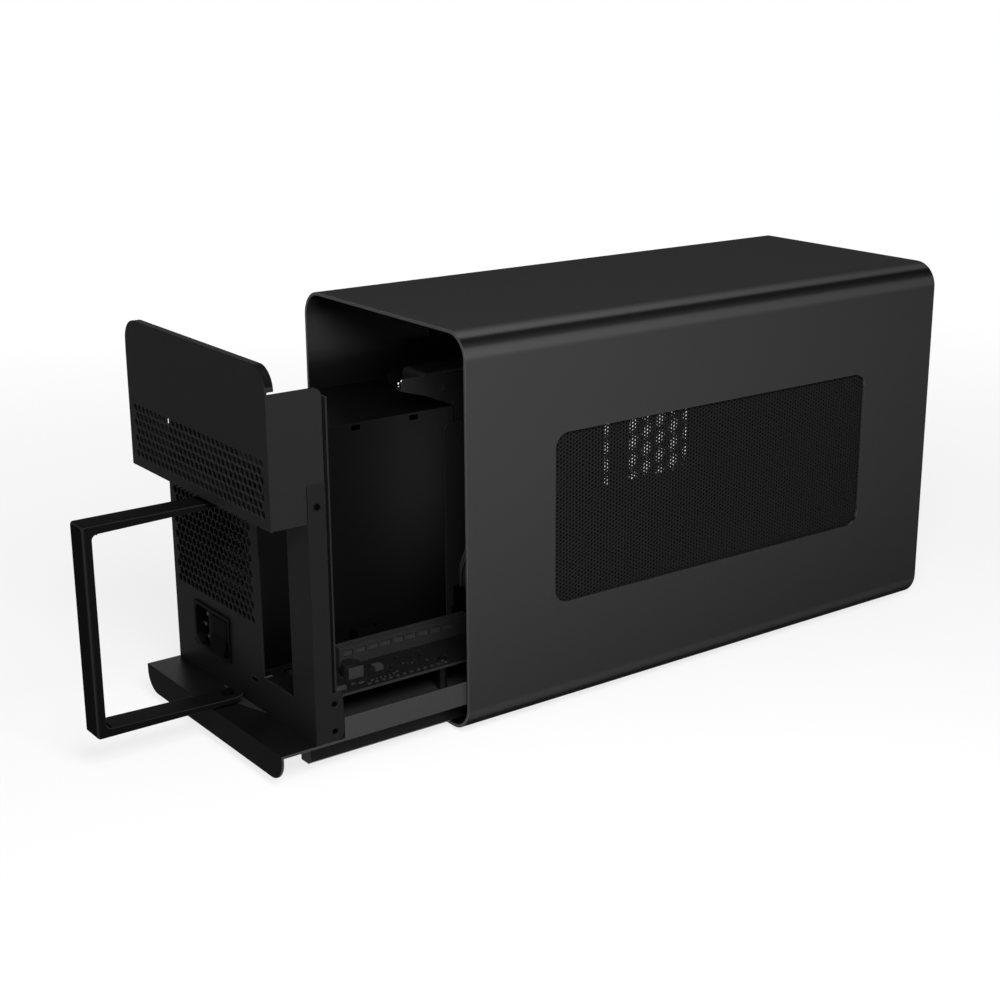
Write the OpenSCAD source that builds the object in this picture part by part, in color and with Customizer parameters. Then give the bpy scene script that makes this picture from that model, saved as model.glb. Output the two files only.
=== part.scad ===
// Desktop expansion chassis for one full-length graphics card.
// A rounded tube sleeve stands on four feet. A tray with the power supply, the slot board and
// the fan slides out of its rear end, and a handle swings out of the recess in the tray's back.
// Frame: +Y is the service end, +X the supply's side, +Z up. The origin lies on the floor,
// under the middle of the sleeve. Lengths are millimetres.

/* [Sleeve] */
// Width across the sleeve
body_w = 168; // [166:0.5:184]
// Length of the sleeve
body_l = 374; // [368:1:410]
// Height of the sleeve without its feet
body_h = 230; // [224:0.5:250]
// Thickness of the sleeve
wall = 2; // [1.5:0.1:2.5]
// Outside radius of the four long edges
corner_r = 15.5; // [14:0.5:18]
// Height of the rubber feet
foot_h = 2; // [1:0.5:5]
// Diameter of the rubber feet
foot_d = 16; // [10:1:20]
// Distance of the feet from the sides and ends
foot_in = 28; // [24:1:40]

/* [Side windows] */
// Length of the window in each side
window_l = 251; // [220:1:260]
// Height of the window
window_h = 101; // [80:1:110]
// Radius of the window corners
window_r = 9; // [4:0.5:14]
// Distance of the window from the rear rim
window_in = 61.2; // [50:0.1:70]
// Height of the window above the bottom of the sleeve
window_up = 64.7; // [55:0.1:75]
// Thickness of the perforated sheet behind the window
mesh_t = 0.8; // [0.5:0.1:1]
// Overlap of the perforated sheet round the window
mesh_lap = 5; // [3:0.5:8]
// Height of one row of openings in the perforated sheet
mesh_pitch = 9.6; // [8:0.1:14]
// Width of the bars between the openings
mesh_bar = 1.4; // [1:0.1:2]

/* [Front panel] */
// Thickness of the panel that closes the front end
front_t = 2; // [1.5:0.1:3]
// Free space between the front panel and the closed tray
end_clear = 2.5; // [1:0.1:5]
// Length of the four lugs that hold the front panel
lug_l = 14; // [10:1:20]

/* [Tray] */
// How far the tray is drawn out in the pose shown
tray_out = 117.5; // [90:0.5:140]
// Clearance between the tray and the perforated sheets
mesh_clear = 0.7; // [0.4:0.1:1.2]
// Clearance under the slide rails
rail_clear = 0.4; // [0.3:0.1:0.8]
// Height of the slide rails
rail_h = 15.1; // [13:0.1:18]
// Width of the slide rails
rail_w = 11; // [8:0.5:14]
// Thickness of the tray floor
floor_t = 1.5; // [1:0.1:2]
// Thickness of the walls, flanges and the cover
panel_t = 1; // [0.8:0.1:1.2]
// Depth of the recess between the cover's face and the rear wall
recess = 21.5; // [20.5:0.1:26]
// Height of the flanges along the sides of the floor
flange_h = 12; // [8:0.5:13]
// Height of the rear wall
rear_wall_h = 143.5; // [138:0.5:148]

/* [Rear cover] */
// Height of the cover over the upper part of the tray's back
cover_h = 84.7; // [80:0.1:88]
// Clearance between the cover and the top of the sleeve
top_clear = 0.8; // [0.5:0.1:1.5]
// Radius of the cover's upper corners
cover_r = 12.5; // [10:0.5:13]
// Depth of the rim that is turned in along the cover's top
rim_d = 4.9; // [3:0.1:8]
// Distance of the near ear's front edge behind the cover's face
ear_l = 32.3; // [30:0.1:36]

/* [Vents] */
// Width across the flats of a vent hole
hex_af = 4.3; // [3:0.1:4.5]
// Distance between the holes of a row
hex_pitch = 5.2; // [5.1:0.1:7]
// Distance between the rows
hex_row = 4.5; // [4.4:0.1:6]

/* [Handle] */
// Width of the handle's band
handle_w = 16; // [12:0.5:17]
// Thickness of the grip bar
bar_t = 5.5; // [4:0.1:7]
// Thickness of the arms at the grip bar
arm_t = 5; // [3.8:0.1:6]
// Thickness of the arms at the pivots
arm_end_t = 3.2; // [2.5:0.1:3.6]
// Radius of the pivot pins
pivot_r = 2; // [1.5:0.1:2.5]

/* [Power supply] */
// Thickness of the supply across the chassis
psu_w = 86; // [84:0.5:88]
// Length of the supply
psu_l = 140; // [130:1:150]
// Height of the supply, which stands on its side
psu_h = 150; // [148:0.5:152]
// Thickness of the supply's case
psu_t = 1; // [0.8:0.1:1.2]

/* [Fans] */
// Side length of the case fan
fan_size = 120; // [115:1:122]
// Thickness of both fans
fan_t = 25; // [20:1:28]
// Number of blades
blades = 7; // [5:1:9]

/* [Board] */
// Width of the slot board
board_w = 55.5; // [54:0.5:60]
// Length of the slot board
board_l = 154.5; // [152:0.5:170]
// Thickness of the slot board
board_t = 1.6; // [1.2:0.1:2]
// Height of the board's upper face above the tray floor
board_up = 17; // [14:0.5:19]
// Length of the card slot
slot_l = 89; // [85:0.5:92]
// Width of the card slot
slot_w = 7.5; // [6.5:0.1:8.5]
// Height of the card slot above the board
slot_h = 11.2; // [9:0.1:12]

/* [Hidden] */
$fn = 48;
// Overrun of every cut
over = 1;
black = [0.05, 0.05, 0.055];
dark = [0.09, 0.09, 0.095];
steel = [0.62, 0.63, 0.65];
rubber = [0.03, 0.03, 0.03];

// Frame of the tray: y is measured from the outer face of its rear wall, z from the sleeve's bottom
tray_y = body_l / 2 + tray_out - recess;
tray_w = body_w - 2 * (wall + mesh_t + mesh_clear);
hw = tray_w / 2;
tray_l = body_l - recess - front_t - end_clear;
floor_z = wall + rail_clear + rail_h + floor_t;
wall_top = floor_z + rear_wall_h;
cover_top = body_h - wall - top_clear;
cover_z = cover_top - cover_h;
// Distance of the rails from the tray's sides and from the rear wall
rail_in = 11.5;
rail_out = hw - rail_in;
rail_rear = 2.5;
// Chamfer of a rail's lower outer edge
rail_cut_w = 3.4;
rail_cut_h = 2.3;
// The lip under the shelf follows the sleeve's lower corners
lip_z = wall + rail_clear + mesh_clear;
lip_t = 1.5;
lip_r = 12;

// Window and perforated sheet
window_y = body_l / 2 - window_in - window_l / 2;
window_z = foot_h + window_up + window_h / 2;
mesh_r = window_r + mesh_lap;

// Front panel lugs and their screws
lug_w = 16;
lug_t = 1.5;
lug_x = 45;
front_screw_in = 8;
front_head_r = 2.75;
front_head_h = 1.5;
front_shank_r = 1.5;
front_shank_l = 4.5;
fit_gap = 0.1;

// Dark pad on the inside of the sleeve's far wall, above the tray's side wall
pad_l = 5.4;
pad_h = 9;
pad_t = 1;
pad_in = 88.5;
pad_down = 41;

// Small sheet details of the tray
bend_gap = 0.3;
tab_l = 17;
tab_h = 27.5;
tab_r_top = 2.5;
tab_r_bottom = 4.5;
upright_l = 10.6;
tab_hole_r = 2.15;
tab_hole_y = -11.5;
tab_hole_up_shares = [5.6 / 27.5, 21.4 / 27.5];
screw_fit = 0.1;
lug_in_l = 14;
lug_in_h = 25;
post_top = 19.5;
post_leg = 9;
post_y = -12.9;

// Card bracket opening, its screw ledge and the data port's slot
bracket_w = 32.6;
bracket_side = 1.35;
bracket_z = 20.5;
bracket_h = 108.5;
bracket_r = 1;
ledge_l = 12;
ledge_w = 37;
ledge_hole_r = 1.45;
ledge_pitch = 20.32;
ledge_hole_in = 5.5;
port_w = 9;
port_h = 3.2;
port_l = 9;
port_wall = 0.35;
port_x_in = 6;
port_gap = 0.3;
tongue_t = 0.7;
tongue_w = 6.6;

// Vent fields
vent_edge = 2.5;
vent_side = 12.3;
vent_up = 49;
vent_h = 82;
cover_vent_w_share = 0.944;
cover_vent_up = 5;
cover_vent_h = 32;

// Cover
ear_top = 13.9;
ear_r = 5;
ear_far_l = 21;
cover_flange_gap = 0.3;
rivet_y = -5.3;
rivet_down = 11.3;
rivet_r = 2.2;
rivet_shank_r = 1.6;
rivet_head = 0.3;

// Handle and its pivots
pivot_x = 1;
pivot_y = 9.5;
arm_gap = 1.8;
arm_gap_top = 3;
running = 0.06;
seat_gap = 0.3;
spacer_r = 4.5;
pivot_head_r = 3.5;
pivot_head_h = 1.6;
inner_r = 3;
handle_r = 2;
handle_z0 = floor_z + arm_gap;
handle_z1 = cover_z - arm_gap_top;
handle_reach = hw + pivot_x;

// Power supply, which stands between the rear wall and the divider
psu_clear = 0.3;
psu_x1 = hw - panel_t - 2 * fit_gap;
psu_x0 = psu_x1 - psu_w;
psu_y1 = -panel_t - psu_clear;
psu_y0 = psu_y1 - psu_l;
psu_z0 = floor_z + psu_clear;
psu_z1 = psu_z0 + psu_h;
psu_vent_lap = 2;
key_slot_l = 6;
key_slot_h = 3;
key_slot_down = 1.5;
key_slot_y_shares = [0.545, 0.824];
pin_hole_r = 1;
pin_hole_y = -9.6;
pin_hole_up_shares = [0.475, 0.533];
guard_wire_r = 0.45;
guard_ring_shares = [0.28, 0.52, 0.76, 1];
guard_spokes = 4;
// The supply's fan sits off its middle, towards the inner end, to clear the inlet
psu_fan_shift = 4.5;
psu_fan_in = 10;
psu_fan_size = psu_l - 2 * psu_fan_in;
grommet_r = 12;
grommet_t = 3;
grommet_out = 1.5;
grommet_x_share = 0.4;
grommet_z_share = 0.71;

// Inlet and switch, one moulding in the supply's back
inlet_w = 43;
inlet_h = 27.2;
inlet_in = 41.2;
inlet_x = psu_x0 + inlet_in;
inlet_up = 30;
inlet_z = floor_z + inlet_up;
inlet_flange = 1.2;
inlet_lap = 1;
inlet_depth = 15;
inlet_r = 1;
socket_w = 16.4;
socket_h = 23.4;
socket_in = 2.2;
socket_depth = 14;
socket_cut_top = 2.5;
socket_cut_bottom = 4.5;
blade_w = 4;
blade_t = 2;
blade_l = 11;
blade_pitch = 7;
blade_shift = 2.2;
rocker_w = 18.4;
rocker_h = 22.8;
rocker_in = 2.2;
rocker_gap = 0.4;
rocker_axis_y = -0.8;
rocker_tilt = 7;
rocker_rise = 1.6;
rocker_dip = 1.3;
rocker_back = 4;
rocker_seat = 9;
rocker_pin_r = 1.4;
rocker_pin_l = 1.2;

// Divider beside the supply's inner end, with an arm over the supply
divider_gap = 0.3;
divider_x = psu_x0 - divider_gap;
divider_l = 50;
divider_top = 20.7;
divider_step = 2.7;
arm_reach = 37;
arm_tip_h = 7;
arm_tip_r = 3;
arm_hole_r = 2.1;
arm_hole_y = 9.5;
arm_hole_down = 8.4;
arm_lip = 5;
strip_w = 9;
strip_down = 9.3;
strip_r = 5;
cable_hole_r = 13;
cable_hole_in = 26;
cable_hole_z_share = 0.64;
side_wall_slit = 5;
side_wall_slit_in = 15;
side_wall_edge = 38;
side_wall_edge_top = 18;
side_wall_rise_share = 0.3575;
side_wall_top = psu_z1 + side_wall_rise_share * (cover_top - psu_z1);

// Fans
fan_corner_r = 4;
fan_rim = 2.5;
fan_hole_in = 7.5;
fan_hole_r = 2.15;
hub_r = 19;
motor_t = 3;
strut_w = 4;
shaft_r = 2;
shaft_end = 5;
hub_gap = 0.6;
hub_end = 2;
tip_gap = 1.3;
fan_blade_t = 1.6;
blade_pitch_angle = 27;
// Radius of a blade's hollow across its chord
blade_camber_r = 60;
// Radii of a blade's two swept edges, and where they start at the hub and end at the tip, in degrees
lead_r = 46;
lead_turn = [10, 24];
trail_r = 62;
trail_turn = [-30, -13];
fan_behind = 20.7;
fan_y = psu_y0 - fan_behind - fan_size / 2;
fan_screw_l = 6;
fan_x = hw - panel_t;
fan_down = 16;
fan_z = side_wall_top - fan_down - fan_size / 2;

// Board and what stands on it
board_gap = 0.5;
board_x1 = psu_x0 - board_gap;
board_x0 = board_x1 - board_w;
board_y1 = -panel_t - board_gap;
board_y0 = board_y1 - board_l;
board_z1 = floor_z + board_up;
board_z0 = board_z1 - board_t;
board_hole_r = 1.7;
standoff_af = 5;
standoff_bore_r = 1.6;
standoff_bore_l = 7;
board_screw_r = 1.5;
board_head_r = 2.8;
board_head_h = 1.7;
board_screw_l = 5;
// Places of the four screws as shares of the board's width from the near edge and its length
board_hole_shares = [[0.12, 0.618],[0.12, 0.955], [0.52, 0.955], [0.82, 0.12]];
slot_in = 18.55;
slot_down = 44;
slot_x = board_x1 - slot_in;
slot_y1 = board_y1 - slot_down;
slot_groove_w = 1.8;
slot_groove_d = 8;
slot_key = 11.5;
slot_key_l = 1.9;
slot_end = 2.2;
cell_pitch = 8.6;
cell_w = 6.5;
cell_h = 3.5;
cell_d = 0.8;
cell_up = 5.5;
latch_l = 6;
latch_w = 5;
latch_h = 13;
latch_foot = 3;
latch_pin_r = 1.2;
latch_cheek = 1.2;
latch_cheek_h = 5.5;
latch_gap = 0.35;
aux_in = 6.8;
aux_x = board_x1 - aux_in;
aux_y = -73;
aux_w = 8;
aux_l = 16;
aux_h = 13.6;
sink_t = 0.8;
sink_l = 9.5;
sink_h = 6.5;
sink_in = 14.7;
sink_x = board_x0 + sink_in;
sink_y = -44.7;
cap_r = 5.3;
cap_h = 7.5;
cap_x = sink_x + sink_t / 2 + fit_gap + cap_r;
cap_y = sink_y;
cap_groove = 0.4;
choke_w = 5;
choke_l = 5.3;
choke_h = 2.8;
choke_in = 18.4;
choke_x = board_x0 + choke_in;
choke_y = -60.9;
header_w = 2;
header_l = 7;
header_h = 2.2;
header_in = 5.3;
header_x = board_x0 + header_in;
header_y = -28.8;
edge_w = 1.2;
edge_l = 2;
edge_h = 0.9;
edge_in = 2.8;
edge_x = board_x0 + edge_in;
edge_count = 12;
edge_y0 = -46;
edge_step = 4.6;
plug_in = 8.2;
plug_x = board_x1 - plug_in;
plug_y = -141.5;
plug_w = 10.4;
plug_l = 9;
power_socket_h = 10;
plug_h = 13;
plug_gap = 0.1;
socket_wall = 0.8;
socket_sink = 4;

// The two supply cables, from the plug up and through the divider to the supply
cable_r = 2.5;
cable_sides = 8;
cable_steps = 3;
cable_pitch = 5.8;
cable_gap = 0.3;
plug_top = board_z1 + power_socket_h + plug_h;
grommet = [psu_x0 + grommet_x_share * psu_w, psu_y0 - grommet_out,
    psu_z0 + grommet_z_share * psu_h];
cable_plug = [plug_x, plug_y, plug_top + cable_gap];
cable_end = grommet - [0, cable_gap, 0];
cable_hole = [divider_x, psu_y0 - divider_gap - cable_hole_in, cable_hole_z_share * psu_h + psu_z0];
// Hand-chosen points between the plug and the opening, as offsets from the plug
cable_rise = [[0, 0, 8], [0, -2, 15], [0, -7, 24], [0, -13, 33]];
// Hand-chosen points about the opening, as offsets from its middle
cable_through = [[-8.2, 6, -13], [-7.5, 1.5, -5], [-4.5, 0, -1.5], [0, 0, 0], [10, 1, 1], [20, 4, 6]];
// Direction from one cable to the other at these points, in degrees above the level
cable_turn = [0, -20, -60, -90, -90, -90];
// Hand-chosen points before the supply, as offsets from the end of the cable
cable_arrive = [[-3, -17, 0], [0, -7, 0], [0, 0, 0]];

// A rectangle about the origin with round corners
module rrect(w, h, r) {
    square([w, h - 2 * r], center = true);
    square([w - 2 * r, h], center = true);
    for (sx = [-1, 1], sy = [-1, 1])
        translate([sx * (w / 2 - r), sy * (h / 2 - r)])
            circle(r);
}

// Extrudes an outline in x and z from y0 to y1
module along_y(y0, y1) {
    translate([0, y1, 0])
        rotate([90, 0, 0])
            linear_extrude(y1 - y0)
                children();
}

// Extrudes an outline in y and z from x0 to x1
module along_x(x0, x1) {
    translate([x0, 0, 0])
        rotate([90, 0, 90])
            linear_extrude(x1 - x0)
                children();
}

// Extrudes an outline in x and y from z0 to z1
module along_z(z0, z1) {
    translate([0, 0, z0])
        linear_extrude(z1 - z0)
            children();
}

// A box between two opposite corners
module box(a, b) {
    translate(a)
        cube(b - a);
}

// A flat rectangle between two opposite corners
module panel(a, b) {
    translate(a)
        square(b - a);
}

// Rounds the corner at p of a flat sheet, which lies on the side that dir points to
module corner_cut(p, dir, r) {
    translate(p)
        scale(dir)
            difference() {
                translate([-over, -over])
                    square(r + over);
                translate([r, r])
                    circle(r);
            }
}

// Staggered six-sided holes, points up, that fill a field w wide and h high about the origin
module hex_field(w, h, af, pitch, row) {
    point = af / cos(30);
    rows = floor((h - point) / row);
    columns = floor((w - af) / pitch);
    for (j = [0 : rows])
        for (i = [0 : columns - j % 2])
            translate([(i - (columns - j % 2) / 2) * pitch, (j - rows / 2) * row])
                rotate(30)
                    circle(r = point / 2, $fn = 6);
}

// Places a piece in the tray's frame
module in_tray() {
    translate([0, tray_y, foot_h])
        children();
}

module sleeve_outline(shrink) {
    translate([0, foot_h + body_h / 2])
        rrect(body_w - 2 * shrink, body_h - 2 * shrink, corner_r - shrink);
}

module sleeve() {
    color(black)
        difference() {
            along_y(-body_l / 2, body_l / 2)
                difference() {
                    sleeve_outline(0);
                    sleeve_outline(wall);
                }
            along_x(-body_w / 2 - over, body_w / 2 + over)
                translate([window_y, window_z])
                    rrect(window_l, window_h, window_r);
            at_front_screws()
                translate([0, 0, -over])
                    cylinder(r = front_head_r + fit_gap, h = wall + 2 * over);
        }
}

// Perforated sheet that lies against the inside of the sleeve, x to the side given by side
module mesh(side) {
    x0 = side > 0 ? body_w / 2 - wall - mesh_t : -body_w / 2 + wall;
    color(dark)
        along_x(x0, x0 + mesh_t)
            translate([window_y, window_z])
                difference() {
                    rrect(window_l + 2 * mesh_lap, window_h + 2 * mesh_lap, mesh_r);
                    rotate(90)
                        hex_field(window_h - mesh_lap, window_l - mesh_lap, mesh_pitch - mesh_bar,
                            mesh_pitch, mesh_pitch * sin(60));
                }
}

module mesh_near() {
    mesh(-1);
}

module mesh_far() {
    mesh(1);
}

module at_front_screws() {
    for (sx = [-1, 1])
        translate([sx * lug_x, -body_l / 2 + front_t + front_screw_in, foot_h])
            children();
}

// Plate flush with the sleeve's front end, with a lug under the top and over the bottom
module front_panel() {
    color(black)
        difference() {
            union() {
                along_y(-body_l / 2, -body_l / 2 + front_t)
                    sleeve_outline(wall + fit_gap);
                for (sx = [-1, 1])
                    translate([sx * lug_x - lug_w / 2, -body_l / 2 + front_t - fit_gap, foot_h]) {
                        translate([0, 0, wall + fit_gap])
                            cube([lug_w, lug_l, lug_t]);
                        translate([0, 0, body_h - wall - fit_gap - lug_t])
                            cube([lug_w, lug_l, lug_t]);
                    }
            }
            at_front_screws()
                cylinder(r = front_shank_r + fit_gap, h = wall + lug_t + 2 * over);
        }
}

module front_screws() {
    color(steel)
        at_front_screws() {
            translate([0, 0, wall - front_head_h])
                cylinder(r = front_head_r, h = front_head_h);
            translate([0, 0, wall - fit_gap])
                cylinder(r = front_shank_r, h = front_shank_l);
        }
}

module guide_pad() {
    z = foot_h + body_h - pad_down;
    color(rubber)
        box([body_w / 2 - wall - pad_t, body_l / 2 - pad_in - pad_l, z],
            [body_w / 2 - wall, body_l / 2 - pad_in, z + pad_h]);
}

module feet() {
    color(rubber)
        for (sx = [-1, 1], sy = [-1, 1])
            translate([sx * (body_w / 2 - foot_in), sy * (body_l / 2 - foot_in), 0])
                cylinder(d = foot_d, h = foot_h);
}

// Floor sheet with its side flanges, the shelf behind the rear wall and the lip below it
module tray_base() {
    color(black)
        in_tray() {
            difference() {
                box([-hw, -tray_l, floor_z - floor_t], [hw, recess, floor_z]);
                at_pivot_foot(floor_z - floor_t - over);
            }
            for (side = [0, 1])
                mirror([side, 0, 0])
                    box([-hw, -tray_l, floor_z - floor_t],
                        [-hw + panel_t, -tab_l - bend_gap, floor_z + flange_h]);
            difference() {
                box([-hw + panel_t, -panel_t - lug_in_l, floor_z - fit_gap],
                    [-hw + 2 * panel_t, -panel_t, floor_z + lug_in_h]);
                at_tab_screws()
                    rotate([0, 90, 0])
                        cylinder(r = tab_hole_r, h = 2 * panel_t + 2 * over);
            }
            along_y(recess - lip_t, recess)
                difference() {
                    panel([-hw, lip_z], [hw, floor_z]);
                    corner_cut([-hw, lip_z], [1, 1], lip_r);
                    corner_cut([hw, lip_z], [-1, 1], lip_r);
                }
        }
}

module at_pivot_foot(z) {
    translate([pivot_x, pivot_y, z])
        cylinder(r = pivot_r + fit_gap, h = floor_t + 2 * over);
}

// Slide rail with a chamfered lower outer edge
module rail(side) {
    color(dark)
        in_tray()
            mirror([side > 0 ? 0 : 1, 0, 0])
                along_y(-tray_l, -rail_rear)
                    polygon([
                        [rail_out - rail_w, wall + rail_clear],
                        [rail_out - rail_cut_w, wall + rail_clear],
                        [rail_out, wall + rail_clear + rail_cut_h],
                        [rail_out, floor_z - floor_t],
                        [rail_out - rail_w, floor_z - floor_t]
                    ]);
}

module rail_near() {
    rail(-1);
}

module rail_far() {
    rail(1);
}

// Screw places in the near side's lower tab, with x from the tab's outer face inwards
module at_tab_screws() {
    for (share = tab_hole_up_shares)
        translate([-hw - over, tab_hole_y, floor_z + share * tab_h])
            children();
}

// Outline of a side flange of the rear wall, with the tab at its foot
module side_flange() {
    difference() {
        union() {
            panel([-upright_l, floor_z], [0, wall_top]);
            panel([-tab_l, floor_z], [0, floor_z + tab_h]);
        }
        corner_cut([-tab_l, floor_z + tab_h], [1, -1], tab_r_top);
        corner_cut([-tab_l, floor_z], [1, 1], tab_r_bottom);
    }
}

module rear_wall() {
    color(black)
        in_tray()
            difference() {
                union() {
                    along_y(-panel_t, 0)
                        difference() {
                            panel([-hw, floor_z], [hw, wall_top]);
                            rear_wall_cuts();
                        }
                    for (side = [0, 1])
                        mirror([side, 0, 0])
                            along_x(-hw, -hw + panel_t)
                                side_flange();
                    translate([slot_x + bracket_side - bracket_w / 2 - ledge_w / 2, -ledge_l,
                        floor_z + bracket_z + bracket_h])
                        cube([ledge_w, ledge_l, panel_t]);
                }
                at_tab_screws()
                    rotate([0, 90, 0])
                        cylinder(r = tab_hole_r, h = panel_t + over + fit_gap);
                at_rivet()
                    rotate([0, 90, 0])
                        cylinder(r = rivet_shank_r + fit_gap, h = panel_t + over + fit_gap);
                at_ledge_holes()
                    cylinder(r = ledge_hole_r, h = panel_t + 2 * over);
            }
}

// Openings of the rear wall: vents, card brackets, inlet and data port
module rear_wall_cuts() {
    vent_w = hw - vent_edge - psu_x0 + vent_side;
    translate([hw - vent_edge - vent_w / 2, floor_z + vent_up + vent_h / 2])
        hex_field(vent_w, vent_h, hex_af, hex_pitch, hex_row);
    translate([slot_x + bracket_side - bracket_w / 2, floor_z + bracket_z + bracket_h / 2])
        rrect(bracket_w, bracket_h, bracket_r);
    translate([inlet_x, inlet_z])
        square([inlet_w - 2 * inlet_lap + 2 * fit_gap, inlet_h - 2 * inlet_lap + 2 * fit_gap],
            center = true);
    translate([board_x1 - port_x_in, board_z0 + board_t / 2])
        rrect(port_w + 2 * fit_gap, port_h + 2 * fit_gap, port_h / 2);
    panel([-hw + panel_t, cover_z - bend_gap], [-hw + 2 * panel_t + fit_gap, wall_top + over]);
}

module at_ledge_holes() {
    for (s = [-1, 1])
        translate([slot_x + bracket_side - bracket_w / 2 + s * ledge_pitch / 2, -ledge_hole_in,
            floor_z + bracket_z + bracket_h - over])
            children();
}

// Angle post behind the near edge of the rear wall, seen as a dark strip beside the flange
module corner_post() {
    x0 = -hw + panel_t;
    x1 = x0 + post_leg;
    color(dark)
        in_tray()
            along_z(floor_z + lug_in_h, cover_top - post_top) {
                panel([x0, post_y - panel_t], [x1, post_y]);
                panel([x1 - panel_t, post_y - panel_t], [x1, -panel_t - bend_gap]);
            }
}

// Wall on the far side of the card space, with the fan's opening and a slit near its inner end
module side_wall() {
    top = side_wall_top;
    rear = fan_y + fan_size / 2;
    color(black)
        in_tray()
            difference() {
                along_x(hw - panel_t, hw)
                    difference() {
                        panel([-tray_l, floor_z + flange_h + bend_gap], [rear, top]);
                        corner_cut([-tray_l, top], [1, -1], strip_r);
                        corner_cut([rear, top], [-1, -1], strip_r);
                        panel([-tray_l + side_wall_slit_in, floor_z + side_wall_edge],
                            [-tray_l + side_wall_slit_in + side_wall_slit,
                                top - side_wall_edge_top]);
                    }
                translate([hw - panel_t - over, fan_y, fan_z])
                    rotate([0, 90, 0])
                        cylinder(r = fan_size / 2 - fan_rim, h = panel_t + 2 * over, $fn = 96);
                at_fan_screws()
                    translate([0, 0, -over])
                        cylinder(r = fan_hole_r, h = panel_t + 2 * over);
            }
}

// Upper part of the tray's back: a vented face with a turned rim, two ears and a lower flange
module cover() {
    color(black)
        in_tray()
            difference() {
                union() {
                    along_y(recess - panel_t, recess)
                        difference() {
                            cover_outline(0);
                            translate([0, cover_z + cover_vent_up + cover_vent_h / 2])
                                hex_field(cover_vent_w_share * tray_w, cover_vent_h, hex_af,
                                    hex_pitch, hex_row);
                        }
                    along_y(recess - rim_d, recess - panel_t + fit_gap)
                        difference() {
                            cover_outline(0);
                            cover_outline(panel_t);
                            panel([-hw - over, cover_z - over], [hw + over, cover_top - cover_r]);
                        }
                    along_x(-hw + panel_t, -hw + 2 * panel_t)
                        ear(recess - ear_l);
                    along_x(hw - 2 * panel_t, hw - panel_t)
                        ear(recess - ear_far_l);
                    box([-hw + panel_t, cover_flange_gap, cover_z],
                        [hw - panel_t, recess - panel_t + fit_gap, cover_z + panel_t]);
                }
                translate([pivot_x, pivot_y, cover_z - over])
                    cylinder(r = pivot_r + fit_gap, h = panel_t + 2 * over);
                at_rivet()
                    rotate([0, 90, 0])
                        cylinder(r = rivet_shank_r + fit_gap, h = 2 * panel_t + 2 * over);
            }
}

// Outline of the cover's face in x and z, drawn in by shrink
module cover_outline(shrink) {
    difference() {
        panel([-hw + shrink, cover_z], [hw - shrink, cover_top - shrink]);
        corner_cut([-hw + shrink, cover_top - shrink], [1, -1], cover_r - shrink);
        corner_cut([hw - shrink, cover_top - shrink], [-1, -1], cover_r - shrink);
    }
}

// Outline of an ear in y and z, from its front edge y0 back to the cover's face
module ear(y0) {
    difference() {
        panel([y0, cover_z], [recess - panel_t + fit_gap, cover_top - ear_top]);
        corner_cut([y0, cover_top - ear_top], [1, -1], ear_r);
    }
}

module at_rivet() {
    translate([-hw - over, rivet_y, wall_top - rivet_down])
        children();
}

// Rivet that joins the near ear to the rear wall's flange
module rivets() {
    color(steel)
        in_tray()
            translate([-hw, rivet_y, wall_top - rivet_down])
                rotate([0, 90, 0]) {
                    translate([0, 0, -rivet_head])
                        cylinder(r = rivet_r, h = rivet_head);
                    translate([0, 0, -fit_gap])
                        cylinder(r = rivet_shank_r, h = 2 * panel_t + 2 * fit_gap);
                    translate([0, 0, 2 * panel_t])
                        cylinder(r = rivet_r, h = rivet_head);
                }
}

// Screws sunk into the lower tab of the rear wall
module tab_screws() {
    color(steel)
        in_tray()
            for (share = tab_hole_up_shares)
                translate([-hw + panel_t / 2, tab_hole_y, floor_z + share * tab_h])
                    rotate([0, 90, 0])
                        cylinder(r = tab_hole_r - screw_fit, h = 2 * panel_t);
}

// Outline of the handle in y and z, with y from the pivots
module handle_side() {
    end = handle_w / 2;
    mid_z = (handle_z0 + handle_z1) / 2;
    inner_y = handle_reach - bar_t;
    difference() {
        translate([(handle_reach - end) / 2, mid_z])
            rrect(handle_reach + end, handle_z1 - handle_z0, handle_r);
        difference() {
            polygon([
                [-end - over, handle_z0 + arm_end_t],
                [end, handle_z0 + arm_end_t],
                [inner_y, handle_z0 + arm_t],
                [inner_y, handle_z1 - arm_t],
                [end, handle_z1 - arm_end_t],
                [-end - over, handle_z1 - arm_end_t]
            ]);
            corner_cut([inner_y, handle_z0 + arm_t], [-1, 1], inner_r);
            corner_cut([inner_y, handle_z1 - arm_t], [-1, -1], inner_r);
        }
    }
}

// U-shaped handle band that swings about the two upright pins
module handle() {
    end = handle_w / 2;
    color(black)
        in_tray()
            translate([pivot_x, pivot_y, 0])
                difference() {
                    intersection() {
                        along_x(-end, end)
                            handle_side();
                        along_z(handle_z0 - over, handle_z1 + over) {
                            circle(end);
                            panel([-end, 0], [end, handle_reach - handle_r]);
                            translate([0, handle_reach - 2 * handle_r])
                                rrect(handle_w, 4 * handle_r, handle_r);
                        }
                    }
                    translate([0, 0, handle_z0 - over])
                        cylinder(r = pivot_r + running, h = handle_z1 - handle_z0 + 2 * over);
                }
}

// Shoulder pin with a spacer under the arm and a head over it, upwards from z = 0
module pivot_pin(spacer_h) {
    cylinder(r = spacer_r, h = spacer_h);
    translate([0, 0, -floor_t])
        cylinder(r = pivot_r, h = floor_t + spacer_h + arm_end_t + 2 * seat_gap + pivot_head_h);
    translate([0, 0, spacer_h + arm_end_t + 2 * seat_gap])
        cylinder(r = pivot_head_r, h = pivot_head_h);
}

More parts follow.
